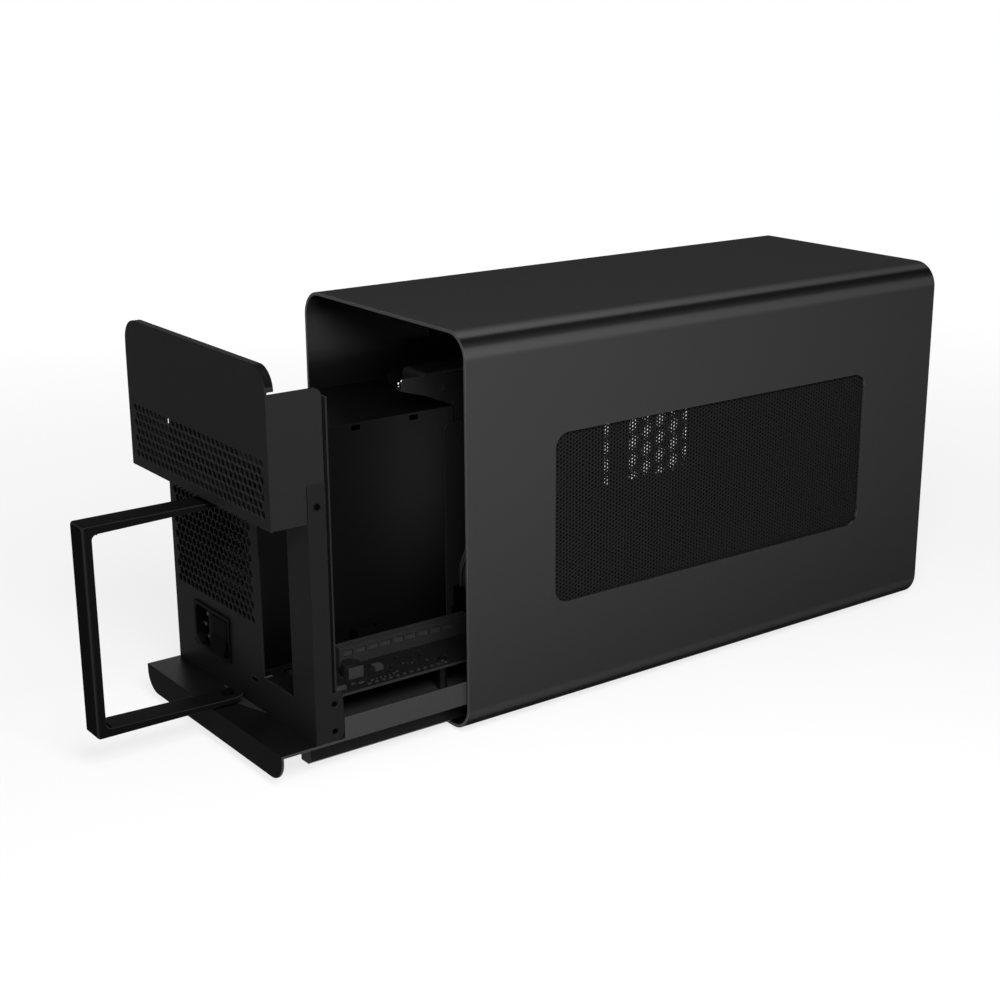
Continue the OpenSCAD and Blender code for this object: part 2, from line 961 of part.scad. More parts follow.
module handle_pivots() {
    color(steel)
        in_tray() {
            translate([pivot_x, pivot_y, floor_z])
                pivot_pin(arm_gap - seat_gap);
            translate([pivot_x, pivot_y, cover_z])
                mirror([0, 0, 1])
                    pivot_pin(arm_gap_top - seat_gap);
        }
}

// Case of the power supply, open on the far side, where its cover closes it
module psu_case() {
    color(dark)
        in_tray()
            difference() {
                box([psu_x0, psu_y0, psu_z0], [psu_x1 - psu_t, psu_y1, psu_z1]);
                box([psu_x0 + psu_t, psu_y0 + psu_t, psu_z0 + psu_t],
                    [psu_x1 + over, psu_y1 - psu_t, psu_z1 - psu_t]);
                box([psu_x0 + 2 * psu_t, psu_y1 - psu_t - over, floor_z + vent_up - psu_vent_lap],
                    [hw - vent_edge, psu_y1 + over, floor_z + vent_up + vent_h + psu_vent_lap]);
                translate([inlet_x, psu_y1 + over, inlet_z])
                    rotate([90, 0, 0])
                        linear_extrude(psu_t + 2 * over)
                            square([inlet_w - 2 * inlet_lap + 2 * fit_gap,
                                inlet_h - 2 * inlet_lap + 2 * fit_gap], center = true);
                for (share = key_slot_y_shares)
                    translate([psu_x0 - over, psu_y1 - share * psu_l,
                        psu_z1 - key_slot_down - key_slot_h])
                        cube([psu_t + 2 * over, key_slot_l, key_slot_h]);
                for (share = pin_hole_up_shares)
                    translate([psu_x0 - over, pin_hole_y, psu_z0 + share * psu_h])
                        rotate([0, 90, 0])
                            cylinder(r = pin_hole_r, h = psu_t + 2 * over);
                translate([grommet.x, psu_y0 - over, grommet.z])
                    rotate([-90, 0, 0])
                        cylinder(r = grommet_r - grommet_out, h = psu_t + 2 * over);
            }
}

module psu_fan_place() {
    translate([psu_x1 - psu_t, (psu_y0 + psu_y1) / 2 - psu_fan_shift, (psu_z0 + psu_z1) / 2])
        rotate([0, -90, 0])
            children();
}

// Far side of the power supply, with the opening over its own fan
module psu_cover() {
    color(dark)
        in_tray()
            difference() {
                along_x(psu_x1 - psu_t, psu_x1)
                    panel([psu_y0, psu_z0], [psu_y1, psu_z1]);
                psu_fan_place()
                    translate([0, 0, -psu_t - over])
                        cylinder(r = psu_fan_size / 2 - fan_rim, h = psu_t + 2 * over, $fn = 96);
            }
}

// Wire guard over the supply's fan: rings on straight spokes
module psu_guard() {
    outer = psu_fan_size / 2 - fan_rim + 2 * guard_wire_r;
    color(steel)
        in_tray()
            psu_fan_place()
                translate([0, 0, -psu_t - guard_wire_r]) {
                    for (share = guard_ring_shares)
                        rotate_extrude($fn = 64)
                            translate([share * outer, 0])
                                circle(guard_wire_r, $fn = 16);
                    for (k = [0 : guard_spokes - 1])
                        rotate(k * 360 / guard_spokes + 45)
                            translate([guard_ring_shares[0] * outer, -guard_wire_r,
                                -guard_wire_r / 2])
                                cube([(1 - guard_ring_shares[0]) * outer, 2 * guard_wire_r,
                                    guard_wire_r]);
                }
}

// Frame of a fan from z = 0 to fan_t, with the motor's base, its struts and the shaft
module fan_frame(size) {
    hole = size / 2 - fan_hole_in;
    linear_extrude(fan_t)
        difference() {
            rrect(size, size, fan_corner_r);
            circle(size / 2 - fan_rim, $fn = 96);
            for (sx = [-1, 1], sy = [-1, 1])
                translate([sx * hole, sy * hole])
                    circle(fan_hole_r);
        }
    translate([0, 0, fan_t - motor_t]) {
        cylinder(r = hub_r, h = motor_t);
        for (k = [0 : 3])
            rotate(90 * k + 45)
                translate([hub_r - over, -strut_w / 2, 0])
                    cube([size / 2 - fan_rim - hub_r + 2 * over, strut_w, motor_t]);
    }
    translate([0, 0, shaft_end])
        cylinder(r = shaft_r, h = fan_t - motor_t - shaft_end + fit_gap);
}

// Middle of the circle of radius r that passes through a and b, to the right of the way from a to b
function arc_middle(a, b, r) = (a + b) / 2
    + unit([b.y - a.y, a.x - b.x]) * sqrt(r * r - norm(b - a) * norm(b - a) / 4);

// Disc whose edge runs from the hub to the tip at the two turns given
module swept_disc(turns, tip_r, r) {
    a = hub_r * [cos(turns[0]), sin(turns[0])];
    b = tip_r * [cos(turns[1]), sin(turns[1])];
    translate(arc_middle(a, b, r))
        circle(r, $fn = 96);
}

// Plan of one blade between its two swept edges, out to the tip
module blade_plan(tip_r) {
    intersection() {
        difference() {
            swept_disc(lead_turn, tip_r, lead_r);
            swept_disc(trail_turn, tip_r, trail_r);
        }
        circle(tip_r, $fn = 96);
        translate([hub_r / 2, -tip_r])
            square([tip_r, 2 * tip_r]);
    }
}

// Hub with swept, hollow blades, on the shaft of fan_frame
module fan_rotor(size) {
    tip_r = size / 2 - fan_rim - tip_gap;
    hub_h = fan_t - motor_t - hub_gap - hub_end;
    difference() {
        union() {
            translate([0, 0, hub_end])
                cylinder(r = hub_r, h = hub_h);
            for (k = [0 : blades - 1])
                rotate(k * 360 / blades)
                    intersection() {
                        translate([0, 0, hub_end])
                            linear_extrude(hub_h)
                                blade_plan(tip_r);
                        translate([0, 0, hub_end + hub_h / 2])
                            rotate([blade_pitch_angle, 0, 0])
                                translate([0, 0, -blade_camber_r])
                                    rotate([0, 90, 0])
                                        difference() {
                                            cylinder(r = blade_camber_r + fan_blade_t / 2,
                                                h = tip_r + over, $fn = 96);
                                            translate([0, 0, -over])
                                                cylinder(r = blade_camber_r - fan_blade_t / 2,
                                                    h = tip_r + 3 * over, $fn = 96);
                                        }
                    }
        }
        translate([0, 0, shaft_end - hub_gap])
            cylinder(r = shaft_r + running, h = fan_t);
    }
}

module psu_fan() {
    color(dark)
        in_tray()
            psu_fan_place()
                fan_frame(psu_fan_size);
}

module psu_rotor() {
    color(dark)
        in_tray()
            psu_fan_place()
                fan_rotor(psu_fan_size);
}

// Rubber bushing round the cables where they leave the supply
module psu_grommet() {
    color(rubber)
        in_tray()
            translate(grommet)
                rotate([-90, 0, 0]) {
                    cylinder(r = grommet_r, h = grommet_out);
                    cylinder(r = grommet_r - grommet_out - fit_gap, h = grommet_t);
                }
}

// Outline of the inlet socket in x and z, with two corners cut on the side of the earth pin
module socket_outline() {
    w = socket_w / 2;
    h = socket_h / 2;
    polygon([
        [-w, -h],
        [w - socket_cut_bottom, -h],
        [w, -h + socket_cut_bottom],
        [w, h - socket_cut_top],
        [w - socket_cut_top, h],
        [-w, h]
    ]);
}

module at_socket() {
    translate([inlet_x + inlet_w / 2 - socket_in - socket_w / 2, 0, inlet_z])
        children();
}

module at_rocker() {
    translate([inlet_x - inlet_w / 2 + rocker_in + rocker_w / 2, rocker_axis_y, inlet_z])
        children();
}

// Moulding with the mains socket and the seat of the rocker switch
module inlet_bezel() {
    color(dark)
        in_tray()
            difference() {
                union() {
                    translate([inlet_x, 0, inlet_z])
                        along_y(0, inlet_flange)
                            rrect(inlet_w, inlet_h, inlet_r);
                    translate([inlet_x, 0, inlet_z])
                        along_y(-inlet_depth, fit_gap)
                            square([inlet_w - 2 * inlet_lap, inlet_h - 2 * inlet_lap],
                                center = true);
                }
                at_socket()
                    along_y(inlet_flange - socket_depth, inlet_flange + over)
                        socket_outline();
                at_rocker() {
                    along_y(-rocker_seat, rocker_seat)
                        square([rocker_w, rocker_h], center = true);
                    rotate([0, 90, 0])
                        cylinder(r = rocker_pin_r + running,
                            h = rocker_w + 2 * rocker_pin_l + 2 * fit_gap, center = true);
                }
            }
}

// The three contact blades of the inlet
module inlet_pins() {
    color(steel)
        in_tray()
            at_socket()
                for (k = [-1, 0, 1])
                    translate([k == 0 ? blade_shift : -blade_shift,
                        inlet_flange - socket_depth + blade_l / 2, k * blade_pitch])
                        cube([blade_w, blade_l, blade_t], center = true);
}

// Rocker switch cap, pressed down at its lower end, on two short pins
module rocker() {
    face_y = inlet_flange - rocker_axis_y + rocker_rise;
    swing_r = rocker_h / 2 - rocker_gap;
    color(dark)
        in_tray()
            at_rocker() {
                rotate([rocker_tilt, 0, 0])
                    along_x(-rocker_w / 2 + rocker_gap, rocker_w / 2 - rocker_gap)
                        intersection() {
                            circle(swing_r, $fn = 96);
                            polygon([
                                [-rocker_back, -swing_r],
                                [face_y, -swing_r],
                                [face_y - rocker_dip, 0],
                                [face_y, swing_r],
                                [-rocker_back, swing_r]
                            ]);
                        }
                rotate([0, 90, 0])
                    cylinder(r = rocker_pin_r, h = rocker_w + 2 * rocker_pin_l, center = true);
            }
}

// Plate beside the supply's inner end, with an arm that reaches back over the supply
module divider() {
    y1 = psu_y0 - divider_gap;
    top = psu_z1 + divider_top;
    color(black)
        in_tray() {
            along_x(divider_x - panel_t, divider_x)
                difference() {
                    union() {
                        panel([y1 - divider_l, floor_z], [y1, top]);
                        polygon([
                            [y1 - over, psu_z1 + divider_step],
                            [y1, psu_z1 + divider_step],
                            [y1 + arm_reach, top - arm_tip_h],
                            [y1 + arm_reach, top],
                            [y1 - over, top]
                        ]);
                    }
                    corner_cut([y1 + arm_reach, top], [-1, -1], arm_tip_r);
                    corner_cut([y1 - divider_l, top], [1, -1], strip_r);
                    panel([board_y0 - over, floor_z + over], [y1 + over, board_z1 + board_gap]);
                    translate([y1 + arm_hole_y, top - arm_hole_down])
                        circle(arm_hole_r);
                    translate([cable_hole.y, cable_hole.z])
                        circle(cable_hole_r);
                }
            along_x(divider_x - fit_gap, divider_x + arm_lip)
                polygon([
                    [y1, psu_z1 + divider_step],
                    [y1 + arm_reach, top - arm_tip_h],
                    [y1 + arm_reach, top - arm_tip_h + panel_t],
                    [y1, psu_z1 + divider_step + panel_t]
                ]);
        }
}

// Strip that laps over the edge of the supply's inner end
module psu_strip() {
    y1 = psu_y0 - divider_gap;
    color(black)
        in_tray()
            along_x(divider_x - 2 * panel_t, divider_x - panel_t)
                difference() {
                    panel([y1 - strip_w, board_z1 + board_gap],
                        [y1 + strip_w, psu_z1 - strip_down]);
                    corner_cut([y1 + strip_w, psu_z1 - strip_down], [-1, -1], strip_r);
                }
}

module case_fan_place() {
    translate([fan_x, fan_y, fan_z])
        rotate([0, -90, 0])
            children();
}

module case_fan() {
    color(dark)
        in_tray()
            case_fan_place()
                fan_frame(fan_size);
}

module case_rotor() {
    color(dark)
        in_tray()
            case_fan_place()
                fan_rotor(fan_size);
}

// Places of the fan's screws on the inner face of the side wall, z outwards
module at_fan_screws() {
    hole = fan_size / 2 - fan_hole_in;
    for (sy = [-1, 1], sz = [-1, 1])
        translate([fan_x, fan_y + sy * hole, fan_z + sz * hole])
            rotate([0, 90, 0])
                children();
}

module fan_screws() {
    color(steel)
        in_tray()
            at_fan_screws() {
                cylinder(r = fan_hole_r - screw_fit, h = panel_t);
                translate([0, 0, -fan_screw_l])
                    cylinder(r = fan_hole_r - screw_fit, h = fan_screw_l + fit_gap);
            }
}

module at_board_screws() {
    for (share = board_hole_shares)
        translate([board_x0 + share[0] * board_w, board_y1 - share[1] * board_l, board_z0])
            children();
}

module board() {
    color([0.06, 0.1, 0.07])
        in_tray()
            difference() {
                box([board_x0, board_y0, board_z0], [board_x1, board_y1, board_z1]);
                at_board_screws()
                    translate([0, 0, -over])
                        cylinder(r = board_hole_r, h = board_t + 2 * over);
                translate([board_x1 - port_x_in, board_y1, board_z0 + board_t / 2])
                    cube([port_w + 2 * port_gap, 2 * port_l, board_t + 2 * over], center = true);
            }
}

module standoffs() {
    height = board_z0 - floor_z;
    color(steel)
        in_tray()
            at_board_screws()
                difference() {
                    translate([0, 0, -height])
                        cylinder(r = standoff_af / 2 / cos(30), h = height, $fn = 6);
                    translate([0, 0, -standoff_bore_l])
                        cylinder(r = standoff_bore_r, h = standoff_bore_l + over);
                }
}

module board_screws() {
    color(steel)
        in_tray()
            at_board_screws() {
                translate([0, 0, board_t])
                    cylinder(r = board_head_r, h = board_head_h);
                translate([0, 0, -board_screw_l])
                    cylinder(r = board_screw_r, h = board_screw_l + board_t + fit_gap);
            }
}

// Long card slot with its groove, key and a row of shallow cells in both flanks
module card_slot() {
    cells = floor((slot_l - 2 * slot_end) / cell_pitch);
    color(dark)
        in_tray()
            translate([slot_x, slot_y1, board_z1])
                difference() {
                    box([-slot_w / 2, -slot_l, 0], [slot_w / 2, 0, slot_h]);
                    box([-slot_groove_w / 2, -slot_l + slot_end, slot_h - slot_groove_d],
                        [slot_groove_w / 2, -slot_key - slot_key_l / 2, slot_h + over]);
                    box([-slot_groove_w / 2, -slot_key + slot_key_l / 2, slot_h - slot_groove_d],
                        [slot_groove_w / 2, -slot_end, slot_h + over]);
                    for (side = [0, 1])
                        mirror([side, 0, 0])
                            for (k = [0 : cells - 1])
                                translate([slot_w / 2 - cell_d,
                                    -slot_end - cell_w - k * cell_pitch, cell_up])
                                    cube([cell_d + over, cell_w, cell_h]);
                }
    color(dark)
        in_tray()
            translate([slot_x, slot_y1 - slot_l, board_z1])
                latch_seat();
}

// Two cheeks behind the slot with the cross pin of the latch
module latch_seat() {
    for (side = [0, 1])
        mirror([side, 0, 0])
            box([latch_w / 2 + latch_gap, -latch_gap - latch_l, 0],
                [latch_w / 2 + latch_gap + latch_cheek, fit_gap, latch_cheek_h]);
    translate([0, -latch_gap - latch_l / 2, latch_l / 2 + latch_gap])
        rotate([0, 90, 0])
            cylinder(r = latch_pin_r, h = latch_w + 2 * latch_gap + 2 * fit_gap, center = true);
}

// Retaining lever at the slot's inner end, which swings on a cross pin
module slot_latch() {
    color(dark)
        in_tray()
            translate([slot_x, slot_y1 - slot_l - latch_gap - latch_l / 2, board_z1])
                difference() {
                    along_x(-latch_w / 2, latch_w / 2) {
                        translate([0, latch_l / 2 + latch_gap])
                            circle(latch_l / 2);
                        panel([-latch_l / 2, latch_l / 2 + latch_gap], [latch_l / 2, latch_h]);
                        panel([-latch_l, latch_h - latch_foot], [latch_l / 2, latch_h]);
                    }
                    translate([0, 0, latch_l / 2 + latch_gap])
                        rotate([0, 90, 0])
                            cylinder(r = latch_pin_r + running, h = latch_w + 2 * over,
                                center = true);
                }
}

// Metal shell of the data port, which lies in the board's notch
module usb_port() {
    color(steel)
        in_tray()
            translate([board_x1 - port_x_in, 0, board_z0 + board_t / 2]) {
                along_y(-port_l, -fit_gap)
                    difference() {
                        rrect(port_w, port_h, port_h / 2 - fit_gap);
                        rrect(port_w - 2 * port_wall, port_h - 2 * port_wall,
                            port_h / 2 - port_wall - fit_gap);
                    }
                along_y(-port_l, -port_l + port_wall)
                    rrect(port_w, port_h, port_h / 2 - fit_gap);
            }
}

module usb_tongue() {
    color(dark)
        in_tray()
            translate([board_x1 - port_x_in, -port_l + port_wall, board_z0 + board_t / 2])
                box([-tongue_w / 2, 0, -tongue_t / 2],
                    [tongue_w / 2, port_l - 2 * port_wall - fit_gap, tongue_t / 2]);
}

// An upright box on the board, with a middle in x and y
module on_board(x, y, w, l, h) {
    in_tray()
        translate([x - w / 2, y - l / 2, board_z1])
            cube([w, l, h]);
}

module aux_socket() {
    color(dark)
        difference() {
            on_board(aux_x, aux_y, aux_w, aux_l, aux_h);
            translate([0, 0, aux_h / 2])
                on_board(aux_x, aux_y, aux_w - 2 * socket_wall, aux_l - 2 * socket_wall, aux_h);
        }
}

// Bright upright plate on the near side of the round body
module heatsink() {
    color(steel)
        on_board(sink_x, sink_y, sink_t, sink_l, sink_h);
}

// Dark round body with a ring pressed in near its foot
module capacitor() {
    color(dark)
        in_tray()
            translate([cap_x, cap_y, board_z1])
                rotate_extrude()
                    difference() {
                        square([cap_r, cap_h]);
                        translate([cap_r, cap_h / 4])
                            circle(cap_groove, $fn = 16);
                    }
}

module choke() {
    color(dark)
        on_board(choke_x, choke_y, choke_w, choke_l, choke_h);
}

module header() {
    color([0.5, 0.48, 0.42])
        on_board(header_x, header_y, header_w, header_l, header_h);
}

// Row of small parts along the board's near edge
module edge_parts() {
    color([0.45, 0.4, 0.33])
        for (k = [0 : edge_count - 1])
            on_board(edge_x, edge_y0 - k * edge_step, edge_w, edge_l, edge_h);
}

// Socket of the supply cable, with walls round the plug's foot
module power_socket() {
    color(dark)
        difference() {
            on_board(plug_x, plug_y, plug_w + 2 * socket_wall, plug_l + 2 * socket_wall,
                power_socket_h);
            translate([0, 0, power_socket_h - socket_sink])
                on_board(plug_x, plug_y, plug_w + 2 * plug_gap, plug_l + 2 * plug_gap,
                    power_socket_h);
        }
}

module power_plug() {
    color(dark)
        in_tray()
            translate([plug_x, plug_y, board_z1 + power_socket_h - socket_sink])
                box([-plug_w / 2, -plug_l / 2, 0], [plug_w / 2, plug_l / 2, plug_h + socket_sink]);
}

// A point of a smooth curve through b and c, for t from 0 to 1
function curve(a, b, c, d, t) = (2 * b + (c - a) * t + (2 * a - 5 * b + 4 * c - d) * t * t
    + (3 * b - a - 3 * c + d) * t * t * t) / 2;

// A smooth curve through all the points of a route
function smooth(p, steps) = [
    for (i = [0 : len(p) - 2], k = [0 : steps - 1])
        curve(p[max(i - 1, 0)], p[i], p[i + 1], p[min(i + 2, len(p) - 1)], k / steps),
    p[len(p) - 1]
];

function unit(v) = v / norm(v);

// Direction of a route at its point i
function heading(p, i) = unit(p[min(i + 1, len(p) - 1)] - p[max(i - 1, 0)]);

// Side directions carried along the route without twist
function sides(p, i, n) = i == len(p) ? [] :
    let (t = heading(p, i), m = unit(n - (n * t) * t))
        concat([m], sides(p, i + 1, m));

// A round tube along a route
module tube(route, r) {
    count = cable_sides;
    last = len(route) - 1;
    across = sides(route, 0, [1, 0, 0]);
    rings = [
        for (i = [0 : last], k = [0 : count - 1])
            let (t = heading(route, i), u = across[i], v = cross(t, u), a = 360 * k / count)
                route[i] + r * (u * cos(a) + v * sin(a))
    ];
    faces = concat(
        [[for (k = [0 : count - 1]) k]],
        [for (i = [0 : last - 1], k = [0 : count - 1])
            let (n = (k + 1) % count)
                [i * count + n, i * count + k, (i + 1) * count + k, (i + 1) * count + n]],
        [[for (k = [count - 1 : -1 : 0]) last * count + k]]
    );
    polyhedron(rings, faces, convexity = 6);
}

// Shift of a cable from the middle of the pair
function cable_shift(side, a) = side * cable_pitch / 2 * [cos(a), 0, sin(a)];

// Route of a cable, which lies beside the other one up to the opening and above or below it after
function cable_route(side) = concat(
    [cable_plug + cable_shift(side, 0)],
    [for (p = cable_rise) cable_plug + cable_shift(side, 0) + p],
    [for (i = [0 : len(cable_through) - 1])
        cable_hole + cable_shift(side, cable_turn[i]) + cable_through[i]],
    [for (p = cable_arrive) cable_end + cable_shift(side, cable_turn[len(cable_turn) - 1]) + p]
);

module cable(side) {
    color(rubber)
        in_tray()
            tube(smooth(cable_route(side), cable_steps), cable_r);
}

module cable_left() {
    cable(-1);
}

module cable_right() {
    cable(1);
}

sleeve();
mesh_near();
mesh_far();
front_panel();
front_screws();
feet();
guide_pad();
tray_base();
rail_near();
rail_far();
rear_wall();
corner_post();
side_wall();
cover();
rivets();
tab_screws();
handle();
handle_pivots();
psu_case();
psu_cover();
psu_guard();
psu_fan();
psu_rotor();
psu_grommet();
inlet_bezel();
inlet_pins();
rocker();
divider();
psu_strip();
case_fan();
case_rotor();
fan_screws();
board();
standoffs();
board_screws();
card_slot();
slot_latch();
usb_port();
usb_tongue();
aux_socket();
heatsink();
capacitor();
choke();
header();
edge_parts();
power_socket();
power_plug();
cable_left();
cable_right();
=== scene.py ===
"""Looks of a desktop expansion chassis for one graphics card, with its tray drawn out of the sleeve.

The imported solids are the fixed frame. Sheet pieces get rounded edges, the side windows their fine
perforation, the board its small parts, and every surface a finish of its own.
Sizes are in millimetres where MM turns them into metres.
"""

import math

import bmesh
import bpy
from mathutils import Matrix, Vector


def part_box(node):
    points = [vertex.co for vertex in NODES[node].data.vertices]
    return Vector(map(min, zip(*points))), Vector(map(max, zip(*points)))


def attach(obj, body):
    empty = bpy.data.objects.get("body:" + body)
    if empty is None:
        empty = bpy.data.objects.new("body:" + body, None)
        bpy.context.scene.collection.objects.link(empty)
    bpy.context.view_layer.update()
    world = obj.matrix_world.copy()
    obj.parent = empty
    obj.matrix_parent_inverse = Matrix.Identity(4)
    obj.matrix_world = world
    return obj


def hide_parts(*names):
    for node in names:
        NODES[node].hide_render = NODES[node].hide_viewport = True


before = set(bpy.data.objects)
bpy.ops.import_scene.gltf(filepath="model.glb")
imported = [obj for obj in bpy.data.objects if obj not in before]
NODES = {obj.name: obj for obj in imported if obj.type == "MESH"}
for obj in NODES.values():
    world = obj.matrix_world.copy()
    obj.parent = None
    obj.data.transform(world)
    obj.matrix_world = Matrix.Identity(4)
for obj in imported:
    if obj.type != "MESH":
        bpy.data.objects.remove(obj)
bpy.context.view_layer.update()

MM = 0.001
# Points closer than this are taken for one
SAME_POINT = 0.01 * MM
# Edges are rounded, and shaded as sharp, where their faces turn by more than these
ROUND_ANGLE = math.radians(40)
SHARP_ANGLE = math.radians(35)


# Selecting, placing and finishing pieces

def only(piece):
    """Leaves one piece selected and active, in object mode."""
    bpy.ops.object.select_all(action="DESELECT")
    piece.select_set(True)
    bpy.context.view_layer.objects.active = piece


def named(name):
    """The piece that an operator has just added, under its own name."""
    piece = bpy.context.object
    piece.name = name
    piece.data.name = name
    return piece


def settle(piece):
    """Puts the place, turn and size of a piece into its mesh."""
    only(piece)
    bpy.ops.object.transform_apply(location=True, rotation=True, scale=True)
    return piece


def pick_faces(mesh, test):
    """Selects the faces for which test(centre, normal) holds, in edit mode."""
    bpy.ops.mesh.select_mode(type="FACE")
    bpy.ops.mesh.select_all(action="DESELECT")
    work = bmesh.from_edit_mesh(mesh)
    for face in work.faces:
        face.select_set(bool(test(face.calc_center_median(), face.normal)))
    bmesh.update_edit_mesh(mesh)


def apply_all(piece):
    """Turns every modifier of a piece into mesh, in order."""
    only(piece)
    for modifier in list(piece.modifiers):
        bpy.ops.object.modifier_apply(modifier=modifier.name)


def smooth_over(piece):
    """Smooth shading over the rounded edges, with flat faces kept flat."""
    only(piece)
    bpy.ops.object.shade_smooth_by_angle(angle=SHARP_ANGLE)
    even = piece.modifiers.new("even", "WEIGHTED_NORMAL")
    even.keep_sharp = True
    bpy.ops.object.modifier_apply(modifier=even.name)


def round_edges(piece, width, steps=2, where=None):
    """Rounds the sharp edges of a piece, all of them or those whose two ends pass where(point)."""
    bevel = piece.modifiers.new("round", "BEVEL")
    bevel.width = width * MM
    bevel.segments = steps
    bevel.use_clamp_overlap = False
    bevel.angle_limit = ROUND_ANGLE
    bevel.limit_method = "ANGLE"
    if where:
        bevel.limit_method = "WEIGHT"
        work = bmesh.new()
        work.from_mesh(piece.data)
        weight = work.edges.layers.float.new("bevel_weight_edge")
        for edge in work.edges:
            sharp = len(edge.link_faces) == 2 and edge.calc_face_angle(0) > ROUND_ANGLE
            if sharp and all(where(vert.co / MM) for vert in edge.verts):
                edge[weight] = 1.0
        work.to_mesh(piece.data)
        work.free()
    apply_all(piece)
    smooth_over(piece)


def twin(node, name):
    """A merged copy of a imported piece, which is finished here and stands for it."""
    piece = bpy.data.objects.new(name, NODES[node].data.copy())
    piece.data.name = name
    piece.data.materials.clear()
    bpy.context.scene.collection.objects.link(piece)
    only(piece)
    bpy.ops.object.mode_set(mode="EDIT")
    bpy.ops.mesh.select_all(action="SELECT")
    bpy.ops.mesh.remove_doubles(threshold=SAME_POINT)
    bpy.ops.mesh.dissolve_limited(angle_limit=math.radians(0.3))
    bpy.ops.object.mode_set(mode="OBJECT")
    return piece


def seat(piece, body, slot, material, *nodes):
    """Gives a finished piece its body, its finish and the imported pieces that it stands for."""
    piece.data.materials.clear()
    piece.data.materials.append(material)
    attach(piece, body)
    if nodes:
        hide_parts(*nodes)


def finish_faces(piece, material, test):
    """Gives the faces for which test(centre, normal) holds another finish."""
    piece.data.materials.append(material)
    slot = len(piece.data.materials) - 1
    for face in piece.data.polygons:
        if test(face.center, face.normal):
            face.material_index = slot


# Shader groups

class Wiring:
    """Short names for adding and linking the nodes of one tree."""

    def __init__(self, tree):
        self.tree = tree

    def add(self, kind, **settings):
        """A new node, with settings for its sockets or for the node itself."""
        node = self.tree.nodes.new(kind)
        for key, value in settings.items():
            if key in node.inputs:
                node.inputs[key].default_value = value
            else:
                setattr(node, key, value)
        return node

    def link(self, out, into):
        """Joins an output to an input."""
        self.tree.links.new(out, into)

    def math(self, kind, *given):
        """Result of a sum on numbers or other nodes' outputs."""
        node = self.add("ShaderNodeMath", operation=kind)
        for socket, value in zip(node.inputs, given):
            if isinstance(value, (int, float)):
                socket.default_value = value
            else:
                self.link(value, socket)
        return node.outputs[0]

    def spread(self, value, low, high, to_low, to_high):
        """The value with low to high stretched over to_low to to_high, and held beyond them."""
        node = self.add("ShaderNodeMapRange", clamp=True)
        self.link(value, node.inputs["Value"])
        for socket, number in (("From Min", low), ("From Max", high),
                               ("To Min", to_low), ("To Max", to_high)):
            node.inputs[socket].default_value = number
        return node.outputs["Result"]

    def mixed(self, factor, first, second):
        """Blend of two colours, each a colour or another node's output."""
        node = self.add("ShaderNodeMix", data_type="RGBA")
        self.link(factor, node.inputs["Factor"])
        sockets = [socket for socket in node.inputs if socket.type == "RGBA"]
        for socket, colour in zip(sockets, (first, second)):
            if isinstance(colour, tuple):
                socket.default_value = (*colour, 1.0)
            else:
                self.link(colour, socket)
        return next(socket for socket in node.outputs if socket.type == "RGBA")


def shader_group(name, inputs, outputs):
    """An empty shader group with named sockets, as (tree, wiring, input node, output node)."""
    tree = bpy.data.node_groups.new(name, "ShaderNodeTree")
    for label, value in inputs.items():
        socket = tree.interface.new_socket(label, in_out="INPUT", socket_type="NodeSocketFloat")
        socket.default_value = value
    for label in outputs:
        tree.interface.new_socket(label, in_out="OUTPUT", socket_type="NodeSocketFloat")
    wiring = Wiring(tree)
    return tree, wiring, wiring.add("NodeGroupInput"), wiring.add("NodeGroupOutput")


def make_coat_grain():
    """Fine powder-coat grain with slow changes of gloss and a little settled dust on level faces."""
    tree, w, given, out = shader_group(
        "coat_grain", {"Grain size": 0.35, "Gloss change": 0.04, "Dust": 0.2},
        ("Height", "Roughness change", "Dust mask"))
    place = w.add("ShaderNodeTexCoord").outputs["Object"]
    fine = w.add("ShaderNodeTexNoise", Detail=2.0, Roughness=0.6)
    w.link(place, fine.inputs["Vector"])
    w.link(w.math("DIVIDE", 1000.0, given.outputs["Grain size"]), fine.inputs["Scale"])
    w.link(fine.outputs["Fac"], out.inputs["Height"])
    slow = w.add("ShaderNodeTexNoise", Scale=9.0, Detail=4.0, Roughness=0.55)
    w.link(place, slow.inputs["Vector"])
    centred = w.math("SUBTRACT", slow.outputs["Fac"], 0.5)
    grit = w.math("SUBTRACT", fine.outputs["Fac"], 0.5)
    both = w.math("ADD", centred, w.math("MULTIPLY", grit, 0.8))
    w.link(w.math("MULTIPLY", both, given.outputs["Gloss change"]), out.inputs["Roughness change"])
    split = w.add("ShaderNodeSeparateXYZ")
    w.link(w.add("ShaderNodeNewGeometry").outputs["Normal"], split.inputs[0])
    level = w.spread(split.outputs["Z"], 0.6, 1.0, 0.0, 1.0)
    patchy = w.spread(slow.outputs["Fac"], 0.42, 0.7, 0.0, 1.0)
    specks = w.spread(fine.outputs["Fac"], 0.5, 0.75, 0.3, 1.0)
    mask = w.math("MULTIPLY", w.math("MULTIPLY", level, patchy), specks)
    w.link(w.math("MULTIPLY", mask, given.outputs["Dust"]), out.inputs["Dust mask"])
    return tree


